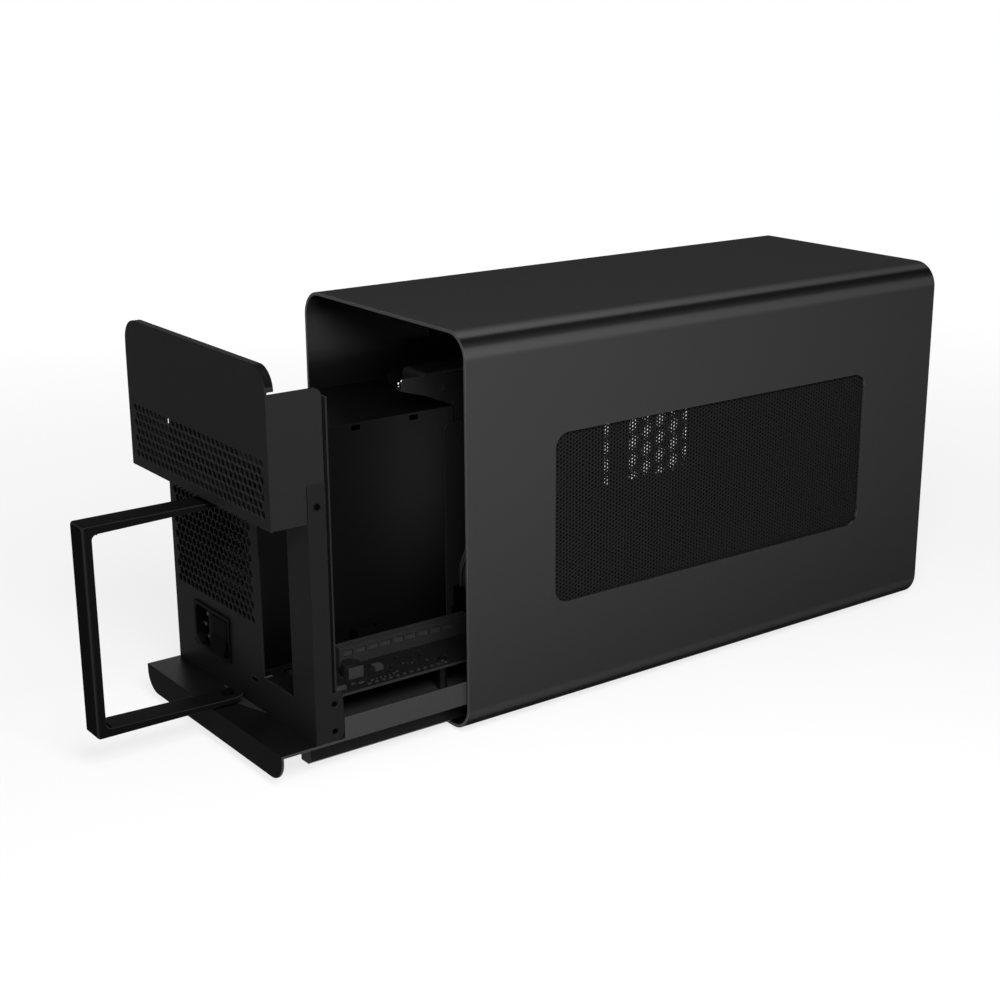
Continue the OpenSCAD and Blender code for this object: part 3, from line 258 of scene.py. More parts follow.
def make_brushed():
    """Streaks of turned or drawn metal along one axis of the piece."""
    tree, w, given, out = shader_group(
        "brushed", {"Streak size": 0.15, "Stretch": 12.0, "Amount": 0.1},
        ("Height", "Roughness change"))
    place = w.add("ShaderNodeTexCoord").outputs["Object"]
    turn = w.add("ShaderNodeMapping")
    w.link(place, turn.inputs["Vector"])
    size = w.add("ShaderNodeCombineXYZ", X=1.0, Z=1.0)
    w.link(w.math("DIVIDE", 1.0, given.outputs["Stretch"]), size.inputs["Y"])
    w.link(size.outputs[0], turn.inputs["Scale"])
    streaks = w.add("ShaderNodeTexNoise", Detail=3.0, Roughness=0.65)
    w.link(turn.outputs[0], streaks.inputs["Vector"])
    w.link(w.math("DIVIDE", 1000.0, given.outputs["Streak size"]), streaks.inputs["Scale"])
    w.link(streaks.outputs["Fac"], out.inputs["Height"])
    centred = w.math("SUBTRACT", streaks.outputs["Fac"], 0.5)
    w.link(w.math("MULTIPLY", centred, given.outputs["Amount"]), out.inputs["Roughness change"])
    return tree


def facing(w):
    """How far the surface turns along x, y and z, each from 0 to 1."""
    turned = w.add("ShaderNodeVectorMath", operation="ABSOLUTE")
    w.link(w.add("ShaderNodeNewGeometry").outputs["Normal"], turned.inputs[0])
    split = w.add("ShaderNodeSeparateXYZ")
    w.link(turned.outputs[0], split.inputs[0])
    return split


def make_edge_highlight():
    """Painted highlight on edges: 1 on faces along an axis, more on the rounded edges between them.
    """
    tree, w, given, out = shader_group("edge_highlight", {"Strength": 1.0}, ("Factor",))
    split = facing(w)
    most = w.math("MAXIMUM", split.outputs["X"], split.outputs["Y"])
    most = w.math("MAXIMUM", most, split.outputs["Z"])
    glint_share = w.math("MULTIPLY", w.math("SUBTRACT", 1.0, most), given.outputs["Strength"])
    w.link(w.math("MULTIPLY_ADD", glint_share, 3.0, 1.0), out.inputs["Factor"])
    return tree


COAT_GRAIN = make_coat_grain()
BRUSHED = make_brushed()
EDGE_HIGHLIGHT = make_edge_highlight()


# Finishes

def new_finish(name, colour, roughness, **fixed):
    """A material with a Principled shader, its fixed values set on its own sockets."""
    material = bpy.data.materials.new(name)
    material.use_nodes = True
    material.node_tree.nodes.clear()
    w = Wiring(material.node_tree)
    shader = w.add("ShaderNodeBsdfPrincipled", Roughness=roughness)
    shader.inputs["Base Color"].default_value = (*colour, 1.0)
    for key, value in fixed.items():
        shader.inputs[key.replace("_", " ")].default_value = value
    output = w.add("ShaderNodeOutputMaterial")
    w.link(shader.outputs[0], output.inputs["Surface"])
    return material, w, shader


DUST_COLOUR = (0.09, 0.088, 0.085)
MASK_COLOUR = (0.0045, 0.0045, 0.0045)
TRACK_COLOUR = (0.008, 0.008, 0.008)
PAD_COLOUR = (0.03, 0.03, 0.028)
GRAIN_DEPTH = 0.04 * MM
STREAK_DEPTH = 0.02 * MM
TRACK_DEPTH = 0.03 * MM
STREAK_GLOSS = 0.25


def raise_grain(w, shader, height, strength, depth):
    """Bumps of a height pattern on a shader."""
    relief = w.add("ShaderNodeBump", Strength=strength, Distance=depth)
    w.link(height, relief.inputs["Height"])
    w.link(relief.outputs["Normal"], shader.inputs["Normal"])


def ramp(w, value, stops):
    """Smooth curve of factors over a value, through stops of (value, factor)."""
    node = w.add("ShaderNodeFloatCurve")
    curve = node.mapping.curves[0]
    for at, factor in stops[1:-1]:
        curve.points.new(at, factor)
    for point, stop in zip(curve.points, stops):
        point.location = stop
    node.mapping.update()
    w.link(value, node.inputs["Value"])
    return node.outputs["Value"]


def along(w, axis, start, end):
    """Place along an axis, 0 at start and 1 at end, in millimetres."""
    split = w.add("ShaderNodeSeparateXYZ")
    w.link(w.add("ShaderNodeTexCoord").outputs["Object"], split.inputs[0])
    span = w.add("ShaderNodeMapRange")
    span.inputs["From Min"].default_value = start * MM
    span.inputs["From Max"].default_value = end * MM
    w.link(split.outputs[axis], span.inputs["Value"])
    return span.outputs["Result"]


# Painted reflection bands over how far a face turns up, from a side (0) to the top (1)
BEND_PAINTED_LIGHT = ((0.0, 0.5), (0.08, 0.56), (0.2, 0.75), (0.38, 0.7), (0.55, 0.22), (0.72, 0.12),
               (0.86, 0.9), (0.95, 0.62), (1.0, 0.3))


def sleeve_painted_light(w):
    """Painted reflections on each bend: two soft light bands with a dark one between them.

    Painted shade: the top is darker than the sides, and the sides darken slowly towards the floor.
    """
    up = facing(w).outputs["Z"]
    # Painted reflection bands, then painted shade that grows towards the floor
    bands = w.math("MULTIPLY", ramp(w, up, BEND_PAINTED_LIGHT), 2.0)
    fall = ramp(w, along(w, "Z", 0, 230), ((0.0, 0.36), (0.55, 0.5), (1.0, 0.5)))
    return w.math("MULTIPLY", bands, w.math("MULTIPLY", fall, 2.0))


def inner_painted_band(w):
    """Painted band of light high on the inner walls, stronger further in from the rim, over painted
    shade.
    """
    band = ramp(w, along(w, "Z", 100, 230), ((0.0, 0.05), (0.45, 0.02), (0.62, 0.08), (0.7, 0.4),
                                              (0.8, 0.7), (0.93, 0.25), (1.0, 0.1)))
    depth = ramp(w, along(w, "Y", 190, -60), ((0.0, 0.12), (0.35, 0.4), (1.0, 1.0)))
    return w.math("MULTIPLY_ADD", w.math("MULTIPLY", band, depth), 40.0, 0.4)


def supply_painted_light(w):
    """Painted reflections: two soft light bands on the upright faces that fade downwards; the top
    stays dark.
    """
    back = ramp(w, along(w, "Y", 140, 284), ((0.0, 0.7), (0.12, 0.6), (0.28, 0.3), (0.45, 0.12),
                                              (0.62, 0.03), (0.76, 0.03), (0.88, 0.16),
                                              (0.95, 0.5), (1.0, 0.9)))
    rise = ramp(w, along(w, "Z", 20, 172), ((0.0, 0.0), (0.25, 0.05), (0.5, 0.3), (0.75, 0.5),
                                             (1.0, 0.4)))
    upright = facing(w).outputs["X"]
    both = w.math("MULTIPLY", w.math("MULTIPLY", back, rise), upright)
    return w.math("MULTIPLY_ADD", both, 18.0, 0.9)


def coated(name, colour, roughness, specular=0.2, grain=0.35, bump=0.15, gloss=0.06, dust=0.15,
           painted_light=None, edge=1.0):
    """Painted or moulded surface: fine grain, slow gloss changes and a little dust.

    The function for painted light and shade gives a factor for the base colour; edge is how much
    lighter a rounded edge is painted than the flat faces beside it, as a highlight.
    """
    material, w, shader = new_finish(name, colour, roughness, Specular_IOR_Level=specular)
    coat = w.add("ShaderNodeGroup", node_tree=COAT_GRAIN)
    coat.inputs["Grain size"].default_value = grain
    coat.inputs["Gloss change"].default_value = gloss
    coat.inputs["Dust"].default_value = dust
    tint = w.mixed(coat.outputs["Dust mask"], colour, DUST_COLOUR)
    # Painted highlight along rounded edges
    edge_glint = w.add("ShaderNodeGroup", node_tree=EDGE_HIGHLIGHT)
    edge_glint.inputs["Strength"].default_value = edge
    factor = edge_glint.outputs["Factor"]
    # Painted light and shade, where given, scale the base colour
    if painted_light:
        factor = w.math("MULTIPLY", factor, painted_light(w))
    lit = w.add("ShaderNodeVectorMath", operation="SCALE")
    w.link(tint, lit.inputs[0])
    w.link(factor, lit.inputs["Scale"])
    w.link(lit.outputs[0], shader.inputs["Base Color"])
    w.link(w.math("ADD", coat.outputs["Roughness change"], roughness), shader.inputs["Roughness"])
    raise_grain(w, shader, coat.outputs["Height"], bump, GRAIN_DEPTH)
    return material


def bright_metal(name, colour, roughness, streak=0.15, stretch=12.0, bump=0.1):
    """Bare or plated metal with fine streaks."""
    material, w, shader = new_finish(name, colour, roughness, Metallic=1.0)
    lines = w.add("ShaderNodeGroup", node_tree=BRUSHED)
    lines.inputs["Streak size"].default_value = streak
    lines.inputs["Stretch"].default_value = stretch
    lines.inputs["Amount"].default_value = STREAK_GLOSS
    w.link(w.math("ADD", lines.outputs["Roughness change"], roughness), shader.inputs["Roughness"])
    raise_grain(w, shader, lines.outputs["Height"], bump, STREAK_DEPTH)
    return material


def board_finish():
    """Dark solder mask over copper tracks, with small plated holes."""
    material, w, shader = new_finish("solder_mask", (0.006, 0.006, 0.006), 0.35,
                                     Specular_IOR_Level=0.03)
    place = w.add("ShaderNodeTexCoord").outputs["Object"]
    tracks = w.add("ShaderNodeTexBrick", Scale=160.0, offset=0.5, squash=0.7)
    tracks.inputs["Mortar Size"].default_value = 0.06
    w.link(place, tracks.inputs["Vector"])
    cells = w.add("ShaderNodeTexVoronoi", Scale=240.0, feature="F1")
    w.link(place, cells.inputs["Vector"])
    hole = w.spread(cells.outputs["Distance"], 0.10, 0.14, 1.0, 0.0)
    mask = w.mixed(tracks.outputs["Fac"], MASK_COLOUR, TRACK_COLOUR)
    w.link(w.mixed(hole, mask, PAD_COLOUR), shader.inputs["Base Color"])
    raise_grain(w, shader, tracks.outputs["Fac"], 0.3, TRACK_DEPTH)
    return material


# Painted reflections and painted shade in the sleeve's base colour; no painted edge highlight
SLEEVE_COAT = coated("sleeve_coat", (0.026, 0.026, 0.026), 0.5, specular=0.002, grain=0.3,
                     bump=0.12, gloss=0.05, dust=0.03, painted_light=sleeve_painted_light, edge=0.0)
# Painted shade inside the sleeve, with a painted band of light
INNER_PAINTED_SHADE_COAT = coated("inner_painted_shade_coat", (0.005, 0.005, 0.005), 0.32, specular=0.05, grain=0.3,
                    bump=0.1, gloss=0.05, dust=0.0, painted_light=inner_painted_band)
PANEL_COAT = coated("panel_coat", (0.0125, 0.0125, 0.0125), 0.42, specular=0.006, grain=0.4,
                    bump=0.18, gloss=0.06, dust=0.08)
WALL_COAT = coated("wall_coat", (0.009, 0.009, 0.009), 0.42, specular=0.01, grain=0.4, bump=0.18,
                   gloss=0.06, dust=0.08)
BASE_COAT = coated("base_coat", (0.003, 0.003, 0.003), 0.42, specular=0.006, grain=0.4, bump=0.12,
                   gloss=0.06, dust=0.1)
# Painted light: the tray base's side flanges, a lighter copy of its coat
FLANGE_PAINTED_LIGHT = coated("flange_painted_light", (0.03, 0.03, 0.03), 0.42, specular=0.03, grain=0.4, bump=0.12,
                     gloss=0.06, dust=0.0)
# Strong painted highlight on the handle's rounded edges
HANDLE_COAT = coated("handle_coat", (0.0038, 0.0038, 0.0038), 0.5, specular=0.001, grain=0.35,
                     bump=0.14, gloss=0.06, dust=0.0, edge=4.0)
MESH_COAT = coated("mesh_coat", (0.0095, 0.0095, 0.0095), 0.45, specular=0.006, grain=0.3, bump=0.1,
                   gloss=0.05, dust=0.0)
# Painted reflections on the supply's upright faces
SUPPLY_COAT = coated("supply_coat", (0.0022, 0.0022, 0.0022), 0.36, specular=0.03, grain=0.55,
                     bump=0.3, gloss=0.08, dust=0.0, painted_light=supply_painted_light)
# Painted highlight on the sleeve's rim
RIM_PAINTED_HIGHLIGHT = coated("rim_painted_highlight", (0.045, 0.045, 0.045), 0.4, specular=0.05, dust=0.0)
# Painted light: the tray's floor behind the wall, a lighter copy of its coat
TRAY_FLOOR_PAINTED_LIGHT = coated("tray_floor_painted_light", (0.016, 0.016, 0.016), 0.4, specular=0.03, dust=0.05)
RAIL_COAT = coated("rail_coat", (0.007, 0.007, 0.007), 0.36, specular=0.05, grain=0.3, bump=0.1,
                   gloss=0.06, dust=0.05)
MOULDED = coated("moulded_black", (0.002, 0.002, 0.002), 0.45, specular=0.008, grain=0.25, bump=0.2,
                 gloss=0.1, dust=0.05)
SWITCH = coated("switch_black", (0.0012, 0.0012, 0.0012), 0.4, specular=0.004, grain=0.5,
                bump=0.05, gloss=0.05, dust=0.0)
FAN_BLACK = coated("fan_black", (0.03, 0.03, 0.03), 0.32, specular=0.25, grain=0.4, bump=0.1,
                   gloss=0.08, dust=0.1)
RUBBER = coated("rubber", (0.008, 0.008, 0.008), 0.75, specular=0.05, grain=0.6, bump=0.35,
                gloss=0.15, dust=0.2)
WIRE_JACKET = coated("wire_jacket", (0.012, 0.012, 0.012), 0.35, specular=0.25, grain=0.8,
                     bump=0.12, gloss=0.1, dust=0.05)
BODY_GREY = coated("part_grey", (0.006, 0.006, 0.006), 0.45, specular=0.05, grain=0.2, bump=0.15,
                   gloss=0.08, dust=0.05)
SLOT_GREY = coated("slot_grey", (0.0175, 0.0175, 0.0175), 0.4, specular=0.08, grain=0.25, bump=0.1,
                   gloss=0.08, dust=0.05)
PALE = coated("part_pale", (0.026, 0.026, 0.026), 0.5, specular=0.1, grain=0.2, bump=0.15,
              gloss=0.1, dust=0.0)
CERAMIC = coated("part_ceramic", (0.02, 0.02, 0.02), 0.4, specular=0.15, grain=0.15, bump=0.1,
                 gloss=0.1, dust=0.0)
TINNED = bright_metal("tinned", (0.045, 0.045, 0.045), 0.35, streak=0.1, stretch=1.0)
PIN_METAL = bright_metal("pin_metal", (0.018, 0.018, 0.018), 0.4, streak=0.1, stretch=1.0)
ZINC = bright_metal("zinc", (0.06, 0.06, 0.062), 0.38, streak=0.2, stretch=2.0, bump=0.15)
BLACK_ZINC = bright_metal("black_zinc", (0.012, 0.012, 0.0125), 0.36, streak=0.2, stretch=1.0,
                          bump=0.15)
SINK_METAL = bright_metal("sink_metal", (0.006, 0.006, 0.0062), 0.4, streak=0.15, stretch=14.0)
SLOT_CELL = coated("slot_cell", (0.026, 0.026, 0.026), 0.4, specular=0.08, dust=0.0)
BOARD_EDGE = coated("board_edge", (0.023, 0.023, 0.022), 0.5, specular=0.05, dust=0.0)
# Painted shade at the bottom of screw recesses
RECESS_PAINTED_SHADE = coated("recess", (0.001, 0.001, 0.001), 0.6, specular=0.0, dust=0.0)
SOLDER_MASK = board_finish()


# Camera, lamps, floor

LENS = 62.5966
LENS_SHIFT = (-0.036918, -0.002114)
CAMERA_PLACE = (-0.821153, 0.701339, 0.418454)
# Azimuth, angle down and roll in degrees
CAMERA_TURN = (232.67559, 17.10109, -0.05161)
# Name, place, point that it is aimed at, width and height, and power of each lamp
LAMPS = (("key", (-0.62, 0.40, 0.60), (-0.05, 0.1, 0.12), (0.35, 0.35), 9.5),
         ("fill", (-0.2, 1.6, 0.9), (0, 0.2, 0.12), (0.9, 0.9), 4.0),
         ("far_side", (1.35, -0.45, 0.1), (0, 0, 0.1), (0.9, 0.18), 14.0),
         ("front", (0.35, -1.4, 0.1), (0, 0, 0.1), (0.9, 0.18), 10.0))


def set_camera():
    """Camera as fitted to the edges of the photographed sleeve."""
    data = bpy.data.cameras.new("camera")
    data.sensor_width = 36.0
    data.lens = LENS
    data.shift_x, data.shift_y = LENS_SHIFT
    data.clip_start = 0.01
    data.clip_end = 50.0
    camera = bpy.data.objects.new("camera", data)
    bpy.context.scene.collection.objects.link(camera)
    azimuth, down, roll = (math.radians(angle) for angle in CAMERA_TURN)
    look = Vector((-math.sin(azimuth) * math.cos(down), math.cos(azimuth) * math.cos(down),
                   -math.sin(down)))
    camera.location = CAMERA_PLACE
    camera.rotation_euler = look.to_track_quat("-Z", "Y").to_euler()
    camera.rotation_euler.rotate_axis("Z", -roll)
    bpy.context.scene.camera = camera


def lamp(name, place, aim, size, power):
    """Rectangular soft lamp, aimed at a point."""
    data = bpy.data.lights.new(name, "AREA")
    data.shape = "RECTANGLE"
    data.size, data.size_y = size
    data.energy = power
    made = bpy.data.objects.new(name, data)
    made.location = place
    made.rotation_euler = (Vector(aim) - Vector(place)).to_track_quat("-Z", "Y").to_euler()
    bpy.context.scene.collection.objects.link(made)


def seen_directly(w):
    """1 for rays that show the backdrop as it is: camera, glossy and transmitted ones."""
    path = w.add("ShaderNodeLightPath").outputs
    both = w.math("MAXIMUM", path["Is Camera Ray"], path["Is Glossy Ray"])
    return w.math("MAXIMUM", both, path["Is Transmission Ray"])


def set_room():
    """Soft pale room: a white backdrop and even light from all round."""
    world = bpy.data.worlds.new("room")
    world.use_nodes = True
    bpy.context.scene.world = world
    world.node_tree.nodes.clear()
    w = Wiring(world.node_tree)
    even = w.add("ShaderNodeBackground", Strength=0.15)
    even.inputs["Color"].default_value = (1, 1, 1, 1)
    white = w.add("ShaderNodeBackground", Strength=1.0)
    white.inputs["Color"].default_value = (1, 1, 1, 1)
    mix = w.add("ShaderNodeMixShader")
    w.link(seen_directly(w), mix.inputs[0])
    w.link(even.outputs[0], mix.inputs[1])
    w.link(white.outputs[0], mix.inputs[2])
    w.link(mix.outputs[0], w.add("ShaderNodeOutputWorld").inputs["Surface"])
    for row in LAMPS:
        lamp(*row)


# Distances from the middle between which the floor's own light grows to plain white
FLOOR_NEAR = 0.35
FLOOR_FAR = 1.3
FLOOR_GLOW = 0.8


def lay_floor():
    """Pale floor that shows the shadow near the object and runs out into plain white."""
    bpy.ops.mesh.primitive_plane_add(size=40.0, location=(0, 0, 0))
    floor = named("floor")
    material = bpy.data.materials.new("floor_white")
    material.use_nodes = True
    material.node_tree.nodes.clear()
    w = Wiring(material.node_tree)
    lit = w.add("ShaderNodeBsdfDiffuse")
    lit.inputs["Color"].default_value = (0.85, 0.85, 0.85, 1)
    shown = w.add("ShaderNodeEmission", Strength=1.0)
    mix = w.add("ShaderNodeMixShader")
    away = w.add("ShaderNodeVectorMath", operation="LENGTH")
    w.link(w.add("ShaderNodeTexCoord").outputs["Object"], away.inputs[0])
    share = w.spread(away.outputs["Value"], FLOOR_NEAR, FLOOR_FAR, FLOOR_GLOW, 1.0)
    w.link(w.math("MULTIPLY", seen_directly(w), share), mix.inputs[0])
    w.link(lit.outputs[0], mix.inputs[1])
    w.link(shown.outputs[0], mix.inputs[2])
    w.link(mix.outputs[0], w.add("ShaderNodeOutputMaterial").inputs["Surface"])
    floor.data.materials.append(material)


# Perforated sheets of the side windows

# Pitch of the holes up and along, radius of a hole, length and height of the pierced field
HOLE_RISE = 2.392
HOLE_STEP = 2.293
HOLE_R = 0.89
FIELD_L = 255.0
FIELD_H = 105.0


def hole_cell(name):
    """Two staggered six-sided cells, each with a hole in its middle."""
    radius = HOLE_RISE / math.sqrt(3)
    bpy.ops.mesh.primitive_circle_add(vertices=6, radius=radius * MM, fill_type="NGON",
                                      rotation=(math.pi / 2, 0, math.pi / 2))
    cell = settle(named(name))
    bpy.ops.object.mode_set(mode="EDIT")
    bpy.ops.mesh.select_all(action="SELECT")
    wide = HOLE_STEP / (1.5 * radius)
    bpy.ops.transform.rotate(value=math.pi / 6, orient_axis="X", center_override=(0, 0, 0))
    bpy.ops.transform.resize(value=(1, wide, 1), center_override=(0, 0, 0))
    bpy.ops.mesh.extrude_region_move()
    share = HOLE_R / radius
    bpy.ops.transform.resize(value=(1, share / wide, share), center_override=(0, 0, 0))
    pick_faces(cell.data, lambda centre, normal: centre.length < 0.1 * MM)
    bpy.ops.mesh.delete(type="FACE")
    bpy.ops.mesh.select_all(action="SELECT")
    bpy.ops.mesh.duplicate_move(
        TRANSFORM_OT_translate={"value": (0, HOLE_STEP * MM, HOLE_RISE / 2 * MM)})
    bpy.ops.object.mode_set(mode="OBJECT")
    return cell


def repeat(piece, label, count, step):
    """Copies of a piece a step apart in millimetres, joined where they meet."""
    array = piece.modifiers.new(label, "ARRAY")
    array.count = count
    array.use_relative_offset = False
    array.use_constant_offset = True
    array.constant_offset_displace = Vector(step) * MM
    array.use_merge_vertices = True
    array.merge_threshold = SAME_POINT


def pierced_field(name, outer, middle):
    """Rows of holes over the field, cut off straight at its four sides."""
    piece = hole_cell(name)
    columns = math.ceil(FIELD_L / (2 * HOLE_STEP)) + 1
    rows = math.ceil(FIELD_H / HOLE_RISE) + 2
    repeat(piece, "up", rows, (0, 0, HOLE_RISE))
    repeat(piece, "along", columns, (0, 2 * HOLE_STEP, 0))
    apply_all(piece)
    start = Vector((0, -(columns - 0.5) * HOLE_STEP, -rows * HOLE_RISE / 2)) * MM
    bpy.ops.object.mode_set(mode="EDIT")
    bpy.ops.mesh.select_all(action="SELECT")
    bpy.ops.transform.translate(value=(outer, middle.y + start.y, middle.z + start.z))
    for axis, half in ((1, FIELD_L / 2), (2, FIELD_H / 2)):
        for sign in (-1, 1):
            normal = Vector((0, 0, 0))
            normal[axis] = sign
            at = middle.copy()
            at[axis] += sign * half * MM
            bpy.ops.mesh.select_all(action="SELECT")
            bpy.ops.mesh.bisect(plane_co=at, plane_no=normal, clear_outer=True)
    bpy.ops.object.mode_set(mode="OBJECT")
    return piece


def plain_border(name, outer, middle, size):
    """The unpierced border between the field and the sheet's edges."""
    bpy.ops.mesh.primitive_plane_add(size=1, location=(outer, middle.y, middle.z),
                                     rotation=(0, math.pi / 2, 0))
    border = named(name)
    border.scale = (size.z, size.y, 1)
    settle(border)
    bpy.ops.object.mode_set(mode="EDIT")
    bpy.ops.mesh.select_all(action="SELECT")
    bpy.ops.mesh.extrude_region_move()
    bpy.ops.transform.resize(value=(1, FIELD_L * MM / size.y, FIELD_H * MM / size.z),
                             center_override=(outer, middle.y, middle.z))
    pick_faces(border.data, lambda centre, normal: abs(centre.y - middle.y) < MM
               and abs(centre.z - middle.z) < MM)
    bpy.ops.mesh.delete(type="FACE")
    bpy.ops.object.mode_set(mode="OBJECT")
    return border


def window_sheet(node, side):
    """Perforated sheet with staggered holes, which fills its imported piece's box."""
    low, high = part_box(node)
    middle = (low + high) / 2
    outer = low.x if side < 0 else high.x
    piece = pierced_field(node + "_fine", outer, middle)
    border = plain_border(node + "_border", outer, middle, high - low)
    bpy.ops.object.select_all(action="DESELECT")
    border.select_set(True)
    piece.select_set(True)
    bpy.context.view_layer.objects.active = piece
    bpy.ops.object.join()
    bpy.ops.object.mode_set(mode="EDIT")
    pick_faces(piece.data, lambda centre, normal: normal.x * side < 0)
    bpy.ops.mesh.flip_normals()
    bpy.ops.object.mode_set(mode="OBJECT")
    thick = piece.modifiers.new("thick", "SOLIDIFY")
    thick.thickness = high.x - low.x
    thick.offset = -1.0
    apply_all(piece)
    seat(piece, "shell", "black_steel", MESH_COAT, node)


# Sheet metal

SLEEVE_WALL = 2.0
TRAY_SHEETS = (("tray_base", 0.3, BASE_COAT), ("rail_near", 0.35, RAIL_COAT),
               ("rail_far", 0.35, RAIL_COAT), ("corner_post", 0.25, PANEL_COAT),
               ("divider", 0.25, PANEL_COAT), ("psu_strip", 0.25, PANEL_COAT),
               ("side_wall", 0.25, PANEL_COAT))


def dress_sleeve():
    """The sleeve with painted shade and a painted light band inside and a painted highlight on its
    rim, and the front panel.
    """
    piece = twin("sleeve", "sleeve_body")
    round_edges(piece, 0.35)
    seat(piece, "shell", "black_coat", SLEEVE_COAT, "sleeve")
    low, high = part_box("sleeve")
    middle = (low + high) / 2
    inner = high - middle - Vector((1, 0, 1)) * SLEEVE_WALL * 0.9 * MM
    # Painted shade and a painted band of light on the inner walls
    finish_faces(piece, INNER_PAINTED_SHADE_COAT, lambda at, normal: abs(at.x - middle.x) < inner.x
                 and abs(at.z - middle.z) < inner.z and (at - middle).dot(normal) < 0
                 and abs(normal.y) < 0.5)
    # Painted highlight on the rim's front face
    finish_faces(piece, RIM_PAINTED_HIGHLIGHT, lambda at, normal: normal.y > 0.7 and at.y > high.y - MM)
    piece = twin("front_panel", "front_plate")
    round_edges(piece, 0.3)
    seat(piece, "shell", "black_coat", PANEL_COAT, "front_panel")


def dress_tray():
    """Rounded edges for the plain sheets and the rails of the tray, and painted light on the base's
    flanges and floor.
    """
    wall_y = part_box("rear_wall")[0].y
    for node, width, finish in TRAY_SHEETS:
        piece = twin(node, node + "_sheet")
        round_edges(piece, width)
        seat(piece, "tray", "black_steel", finish, node)
        if node == "tray_base":
            # Painted light: the base's side flanges and its floor behind the wall get lighter coats
            finish_faces(piece, FLANGE_PAINTED_LIGHT, lambda at, normal: abs(normal.x) > 0.7)
            finish_faces(piece, TRAY_FLOOR_PAINTED_LIGHT, lambda at, normal: normal.z > 0.7 and at.y < wall_y)


# Where edges are rounded: beside the wall's vents and at its top, above the cover's vents and on
# its turned rim; and how far down the painted shade on the rim's top reaches
VENT_SIDE_X = -20.0
WALL_TOP = 1.5
COVER_VENTS = 40
COVER_RIM = 8
COVER_ROUND = 20


def dress_wall_and_cover():
    """Rounded outer edges for the two vented sheets, away from their vents."""
    low, high = (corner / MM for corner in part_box("rear_wall"))
    piece = twin("rear_wall", "rear_wall_sheet")
    round_edges(piece, 0.25, where=lambda at: at.x < VENT_SIDE_X or at.z > high.z - WALL_TOP)
    seat(piece, "tray", "black_coat", WALL_COAT, "rear_wall")
    low, high = (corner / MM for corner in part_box("cover"))
    piece = twin("cover", "cover_sheet")
    round_edges(piece, 0.25, where=lambda at: at.z > low.z + COVER_VENTS or at.y < high.y - COVER_RIM)
    seat(piece, "tray", "black_coat", PANEL_COAT, "cover")
    # Painted shade: the cover's upward faces near its top take the darker base coat
    finish_faces(piece, BASE_COAT, lambda at, normal: normal.z > 0.25
                 and at.z > (high.z - COVER_ROUND) * MM)


# Screws and rivets

def sunk_heads(node, body, outward, inset, depth, material):
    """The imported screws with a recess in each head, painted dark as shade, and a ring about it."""
    low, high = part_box(node)
    piece = twin(node, node + "_heads")
    outward = Vector(outward)
    top = max(low.dot(outward), high.dot(outward)) - 0.05 * MM
    only(piece)
    bpy.ops.object.mode_set(mode="EDIT")
    pick_faces(piece.data, lambda at, normal: normal.dot(outward) > 0.9 and at.dot(outward) > top)
    bpy.ops.mesh.inset(thickness=inset * MM)
    bpy.ops.mesh.extrude_region_move(
        TRANSFORM_OT_translate={"value": outward * -depth * MM})
    bpy.ops.object.mode_set(mode="OBJECT")
    smooth_over(piece)
    seat(piece, body, "bright_steel", material, node)
    # Painted shade at the bottom of each recess
    finish_faces(piece, RECESS_PAINTED_SHADE, lambda at, normal: normal.dot(outward) > 0.9
                 and top - depth * MM < at.dot(outward) < top + (0.2 - depth) * MM)


def ringed_screws():
    """Heads on the lower tab, the near ear and the board."""
    sunk_heads("tab_screws", "tray", (-1, 0, 0), 0.55, 0.8, BLACK_ZINC)
    sunk_heads("rivets", "tray", (-1, 0, 0), 0.5, 0.4, BLACK_ZINC)
    sunk_heads("board_screws", "tray", (0, 0, 1), 1.0, 0.8, ZINC)


# Inside the supply

# A finned plate's thickness, its margins left, right, below and above, and its fins
SINK_T = 3
SINK_MARGINS = (6, 3, 8, 6)
FINS = 14
FIN_DEPTH = 7
# How far in from the case's rear face each plate starts
SINK_REAR = 15
SINK_INNER = 80
# The wound ring's place from the case's left, rear and lower faces, and its two radii
RING_PLACE = (14, 50, 40)
RING_R = 11
RING_WIRE_R = 5


def finned_sink(name, low, high):
    """Upright plate with level fins on its rear side."""
    low, high = Vector(low) * MM, Vector(high) * MM
    bpy.ops.object.select_all(action="DESELECT")
    bpy.ops.mesh.primitive_cube_add(size=1, location=(low + high) / 2)
    plate = named(name)
    plate.scale = high - low
    settle(plate)
    bpy.ops.object.mode_set(mode="EDIT")
    step = (high.z - low.z) / (2 * FINS + 1)
    for k in range(1, 2 * FINS + 1):
        bpy.ops.mesh.select_all(action="SELECT")
        bpy.ops.mesh.bisect(plane_co=(0, 0, low.z + k * step), plane_no=(0, 0, 1))
    pick_faces(plate.data, lambda at, normal: normal.y > 0.9
               and int((at.z - low.z) / step) % 2 == 1)
    bpy.ops.mesh.extrude_faces_move(
        TRANSFORM_OT_shrink_fatten={"value": FIN_DEPTH * MM})
    bpy.ops.object.mode_set(mode="OBJECT")
    round_edges(plate, 0.3, steps=1)
    seat(plate, "tray", "bright_steel", SINK_METAL)


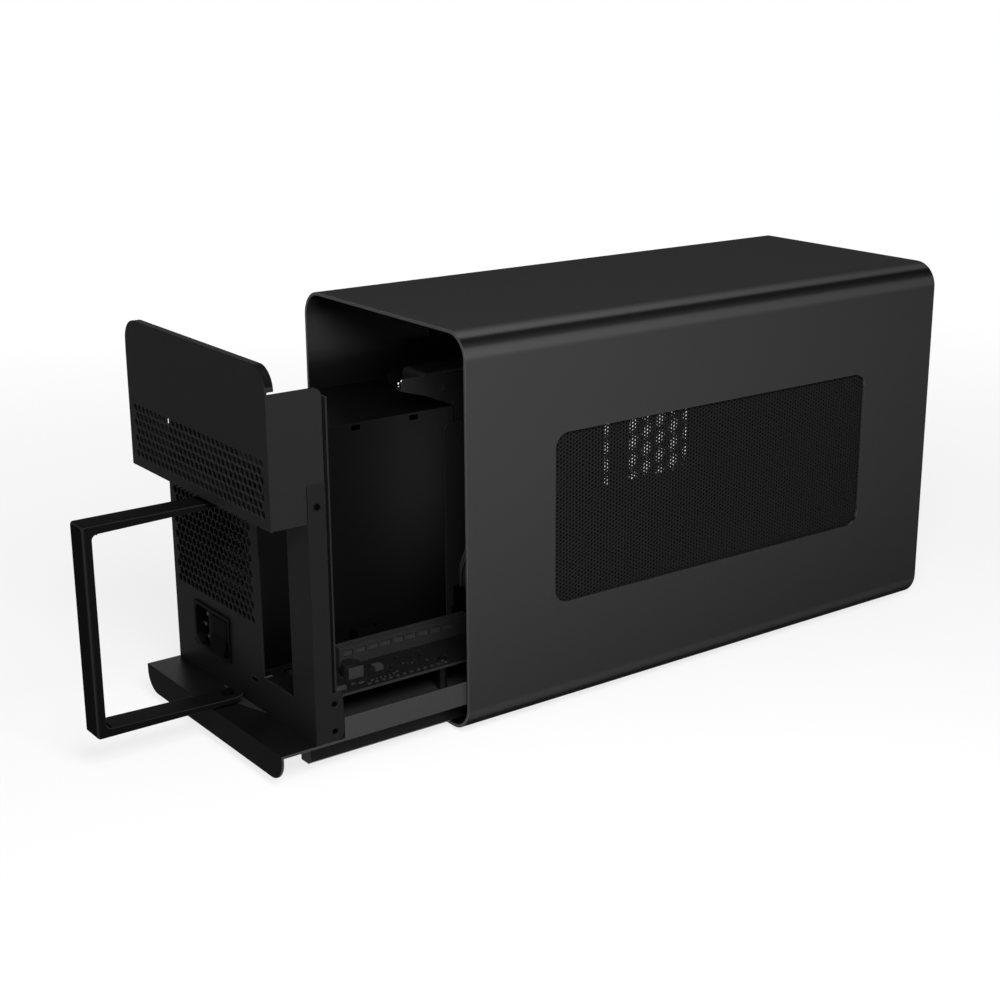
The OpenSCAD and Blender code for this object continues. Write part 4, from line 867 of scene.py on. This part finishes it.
def supply_inside():
    """Two finned sinks and a wound ring that show through the supply's vents."""
    low, high = (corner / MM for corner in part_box("psu_case"))
    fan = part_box("psu_fan")[0].x / MM
    left, right, below, above = SINK_MARGINS
    for name, back, limit in (("supply_sink_rear", SINK_REAR, high.x),
                              ("supply_sink_inner", SINK_INNER, fan)):
        finned_sink(name, (low.x + left, high.y - back, low.z + below),
                    (limit - right, high.y - back + SINK_T, high.z - above))
    inwards, forwards, up = RING_PLACE
    bpy.ops.object.select_all(action="DESELECT")
    bpy.ops.mesh.primitive_torus_add(
        major_radius=RING_R * MM, minor_radius=RING_WIRE_R * MM, major_segments=48,
        minor_segments=16, rotation=(0, math.pi / 2, 0),
        location=((low.x + inwards) * MM, (high.y - forwards) * MM, (low.z + up) * MM))
    ring = settle(named("supply_coil"))
    smooth_over(ring)
    seat(ring, "tray", "black_plastic", BODY_GREY)


# Board and card slot

# Width of the slot's body, and how far past its side a face has to lie to be one of its tiles
SLOT_W = 7.5
SIDE_SLACK = 0.05


def dress_board():
    """Pale cut edge for the board, and pale cells on the slot's near side with their sides painted
    dark as shade.
    """
    piece = twin("board", "board_sheet")
    seat(piece, "tray", "board", SOLDER_MASK, "board")
    finish_faces(piece, BOARD_EDGE, lambda at, normal: abs(normal.z) < 0.3)
    low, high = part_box("card_slot")
    side = (low.x + high.x) / 2 - SLOT_W / 2 * MM
    slack = SIDE_SLACK * MM
    piece = twin("card_slot", "card_slot_body")
    round_edges(piece, 0.1, steps=1)
    seat(piece, "tray", "black_plastic", SLOT_GREY, "card_slot")
    finish_faces(piece, SLOT_CELL, lambda at, normal: normal.x < -0.9
                 and side + slack < at.x < side + MM)
    # Painted shade on the sides of the slot's cells
    finish_faces(piece, MOULDED, lambda at, normal: abs(normal.x) < 0.3
                 and side + slack < at.x < side + MM and at.z < high.z - MM)


# Small parts on the board

# Places from the board's near edge inwards and from the tray's back, lengths and kinds
SMALL_PARTS = (
    (7.5, 37.9, 2.6, "pale"), (6.6, 43.0, 5.2, "pale"), (5.7, 49.4, 3.4, "pale"),
    (6.0, 52.5, 1.6, "pale"), (6.0, 55.3, 1.3, "pale"), (5.7, 58.1, 1.8, "pale"),
    (6.1, 61.0, 1.8, "pale"), (6.9, 64.2, 2.0, "pale"), (8.1, 67.3, 2.6, "pale"),
    (6.7, 72.1, 3.2, "grey"), (11.3, 54.3, 6.6, "grey"), (10.8, 65.5, 3.0, "grey"),
    (25.9, 55.5, 3.0, "grey"), (15.5, 69.4, 3.2, "grey"), (15.9, 76.2, 1.6, "pale"),
    (14.6, 78.4, 1.3, "pale"), (13.3, 80.6, 1.6, "pale"), (25.9, 78.5, 3.2, "grey"),
    (22.0, 84.8, 3.2, "grey"), (20.0, 92.0, 5.0, "grey"), (12.0, 90.0, 2.0, "pale"),
)
PART_H = 0.8
PART_W = 1.1
CAP_SHARE = 0.32


def small_part(name, length, place, material):
    """Soldered part: a dark or pale body between two tinned ends."""
    size = Vector((PART_W, length, PART_H)) * MM
    cap = size.y * CAP_SHARE
    bpy.ops.object.select_all(action="DESELECT")
    bpy.ops.mesh.primitive_cube_add(size=1, location=place + Vector((0, 0, size.z / 2)))
    piece = named(name)
    piece.scale = size
    settle(piece)
    bpy.ops.object.mode_set(mode="EDIT")
    for sign in (-1, 1):
        bpy.ops.mesh.select_all(action="SELECT")
        bpy.ops.mesh.bisect(plane_co=place + Vector((0, sign * cap, 0)), plane_no=(0, 1, 0))
    bpy.ops.object.mode_set(mode="OBJECT")
    round_edges(piece, 0.08, steps=1)
    seat(piece, "tray", "pale_plastic", material)
    finish_faces(piece, TINNED, lambda at, normal: abs(at.y - place.y) > cap * 1.02)


def board_parts():
    """The soldered parts along the board's near edge and beside the slot."""
    low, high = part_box("board")
    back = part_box("rear_wall")[1].y
    for k, (inwards, forwards, length, kind) in enumerate(SMALL_PARTS):
        place = Vector((low.x + inwards * MM, back - forwards * MM, high.z))
        small_part(f"small_part_{k}", length, place, CERAMIC if kind == "pale" else BODY_GREY)


# Wires between the plug and the supply

def between(a, b, c, d, t):
    """A point of a smooth curve through b and c."""
    return (2 * b + (c - a) * t + (2 * a - 5 * b + 4 * c - d) * t * t
            + (3 * b - a - 3 * c + d) * t ** 3) / 2


def smooth_route(points, steps):
    """A smooth line through the points, in the given number of steps between two of them."""
    made = []
    for i in range(len(points) - 1):
        before, beyond = points[max(i - 1, 0)], points[min(i + 2, len(points) - 1)]
        made += [between(before, points[i], points[i + 1], beyond, k / steps)
                 for k in range(steps)]
    return made + [points[-1]]


# Route of a cable: up from the plug, through the divider's hole and on to the supply's bushing
CABLE_RISE = ((0, 0, 8), (0, -2, 15), (0, -7, 24), (0, -13, 33))
CABLE_THROUGH = ((-8.2, 6, -13), (-7.5, 1.5, -5), (-4.5, 0, -1.5), (0, 0, 0), (10, 1, 1),
                 (20, 4, 6))
CABLE_TURN = (0, -20, -60, -90, -90, -90)
CABLE_ARRIVE = ((-3, -17, 0), (0, -7, 0), (0, 0, 0))
CABLE_PITCH = 5.8
CABLE_GAP = 0.3
# The hole in the divider, in from the case's inner face and up from its floor
OPENING_IN = 26.3
OPENING_UP = 96.0
ROUTE_STEPS = 6
# Wires of a cable: how many, radius, distance from the middle line and turn from step to step
WIRES = 3
WIRE_R = 1.12
WIRE_SPREAD = 1.33
WIRE_TWIST = 0.04


def cable_shift(side, degrees):
    """Step from the middle of the two cables to one of them, where they lie at an angle."""
    turn = math.radians(degrees)
    return side * CABLE_PITCH / 2 * Vector((math.cos(turn), 0, math.sin(turn)))


def cable_route(side):
    """Middle line of one cable from the plug to the bushing, in millimetres."""
    plug_low, plug_high = (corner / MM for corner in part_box("power_plug"))
    case_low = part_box("psu_case")[0] / MM
    bush_low, bush_high = (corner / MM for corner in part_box("psu_grommet"))
    start = Vector(((plug_low.x + plug_high.x) / 2, (plug_low.y + plug_high.y) / 2,
                    plug_high.z + CABLE_GAP))
    end = Vector(((bush_low.x + bush_high.x) / 2, bush_low.y - CABLE_GAP,
                  (bush_low.z + bush_high.z) / 2))
    opening = Vector((case_low.x - CABLE_GAP, case_low.y - OPENING_IN, case_low.z + OPENING_UP))
    level = cable_shift(side, 0)
    route = [start + level] + [start + level + Vector(p) for p in CABLE_RISE]
    route += [opening + cable_shift(side, turn) + Vector(p)
              for turn, p in zip(CABLE_TURN, CABLE_THROUGH)]
    route += [end + cable_shift(side, CABLE_TURN[-1]) + Vector(p) for p in CABLE_ARRIVE]
    return smooth_route(route, ROUTE_STEPS)


def rings_along(route):
    """Each point of a route, with two directions across it that don't turn about it."""
    across = Vector((1, 0, 0))
    rings = []
    for i, at in enumerate(route):
        ahead = (route[min(i + 1, len(route) - 1)] - route[max(i - 1, 0)]).normalized()
        across = (across - ahead * across.dot(ahead)).normalized()
        rings.append((at, across.copy(), ahead.cross(across)))
    return rings


def twisted_wire(name, rings, start):
    """One round wire that winds about the middle line from a starting angle."""
    data = bpy.data.curves.new(name, "CURVE")
    data.dimensions = "3D"
    data.bevel_depth = WIRE_R * MM
    data.bevel_resolution = 4
    data.use_fill_caps = True
    line = data.splines.new("POLY")
    line.points.add(len(rings) - 1)
    for i, (at, across, over) in enumerate(rings):
        turn = start + WIRE_TWIST * i
        offset = WIRE_SPREAD * (across * math.cos(turn) + over * math.sin(turn))
        line.points[i].co = (*((at + offset) * MM), 1)
    wire = bpy.data.objects.new(name, data)
    bpy.context.scene.collection.objects.link(wire)
    return wire


def wire_bundle(node, side):
    """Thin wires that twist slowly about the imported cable's middle line."""
    rings = rings_along(cable_route(side))
    made = [twisted_wire(f"{node}_wire_{k}", rings, 2 * math.pi * k / WIRES)
            for k in range(WIRES)]
    bpy.ops.object.select_all(action="DESELECT")
    for wire in made:
        wire.select_set(True)
    bpy.context.view_layer.objects.active = made[0]
    bpy.ops.object.convert(target="MESH")
    bpy.ops.object.join()
    bundle = named(node + "_wires")
    only(bundle)
    bpy.ops.object.shade_smooth_by_angle(angle=math.radians(50))
    seat(bundle, "tray", "rubber", WIRE_JACKET, node)


def main_pieces():
    """Every piece that is made or finished here, in turn."""
    dress_wall_and_cover()
    ringed_screws()
    supply_inside()
    dress_board()
    board_parts()
    wire_bundle("cable_left", -1)
    wire_bundle("cable_right", 1)
    dress_sleeve()
    dress_tray()
    window_sheet("mesh_near", -1)
    window_sheet("mesh_far", 1)
    piece = twin("handle", "handle_band")
    round_edges(piece, 0.7, steps=3)
    seat(piece, "handle", "black_coat", HANDLE_COAT, "handle")
    for node in ("psu_case", "psu_cover"):
        piece = twin(node, node + "_sheet")
        round_edges(piece, 0.3)
        seat(piece, "tray", "black_steel", SUPPLY_COAT, node)


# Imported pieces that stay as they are, with their finishes
FINISHES = {
    "feet": RUBBER, "guide_pad": RUBBER, "front_screws": BLACK_ZINC,
    "handle_pivots": BLACK_ZINC, "psu_guard": ZINC, "psu_fan": FAN_BLACK,
    "psu_rotor": FAN_BLACK, "psu_grommet": RUBBER, "inlet_bezel": MOULDED,
    "inlet_pins": PIN_METAL, "rocker": SWITCH, "case_fan": FAN_BLACK,
    "case_rotor": FAN_BLACK, "fan_screws": BLACK_ZINC, "standoffs": ZINC, "slot_latch": MOULDED,
    "usb_port": TINNED, "usb_tongue": MOULDED, "aux_socket": MOULDED, "heatsink": PALE,
    "capacitor": BODY_GREY, "choke": PALE, "header": PALE, "edge_parts": CERAMIC,
    "power_socket": MOULDED, "power_plug": MOULDED,
}


def finish_packed():
    """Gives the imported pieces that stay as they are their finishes."""
    for name, material in FINISHES.items():
        slots = NODES[name].data.materials
        slots.clear()
        slots.append(material)


set_camera()
set_room()
lay_floor()
main_pieces()
finish_packed()

bpy.context.scene.view_settings.view_transform = "Standard"
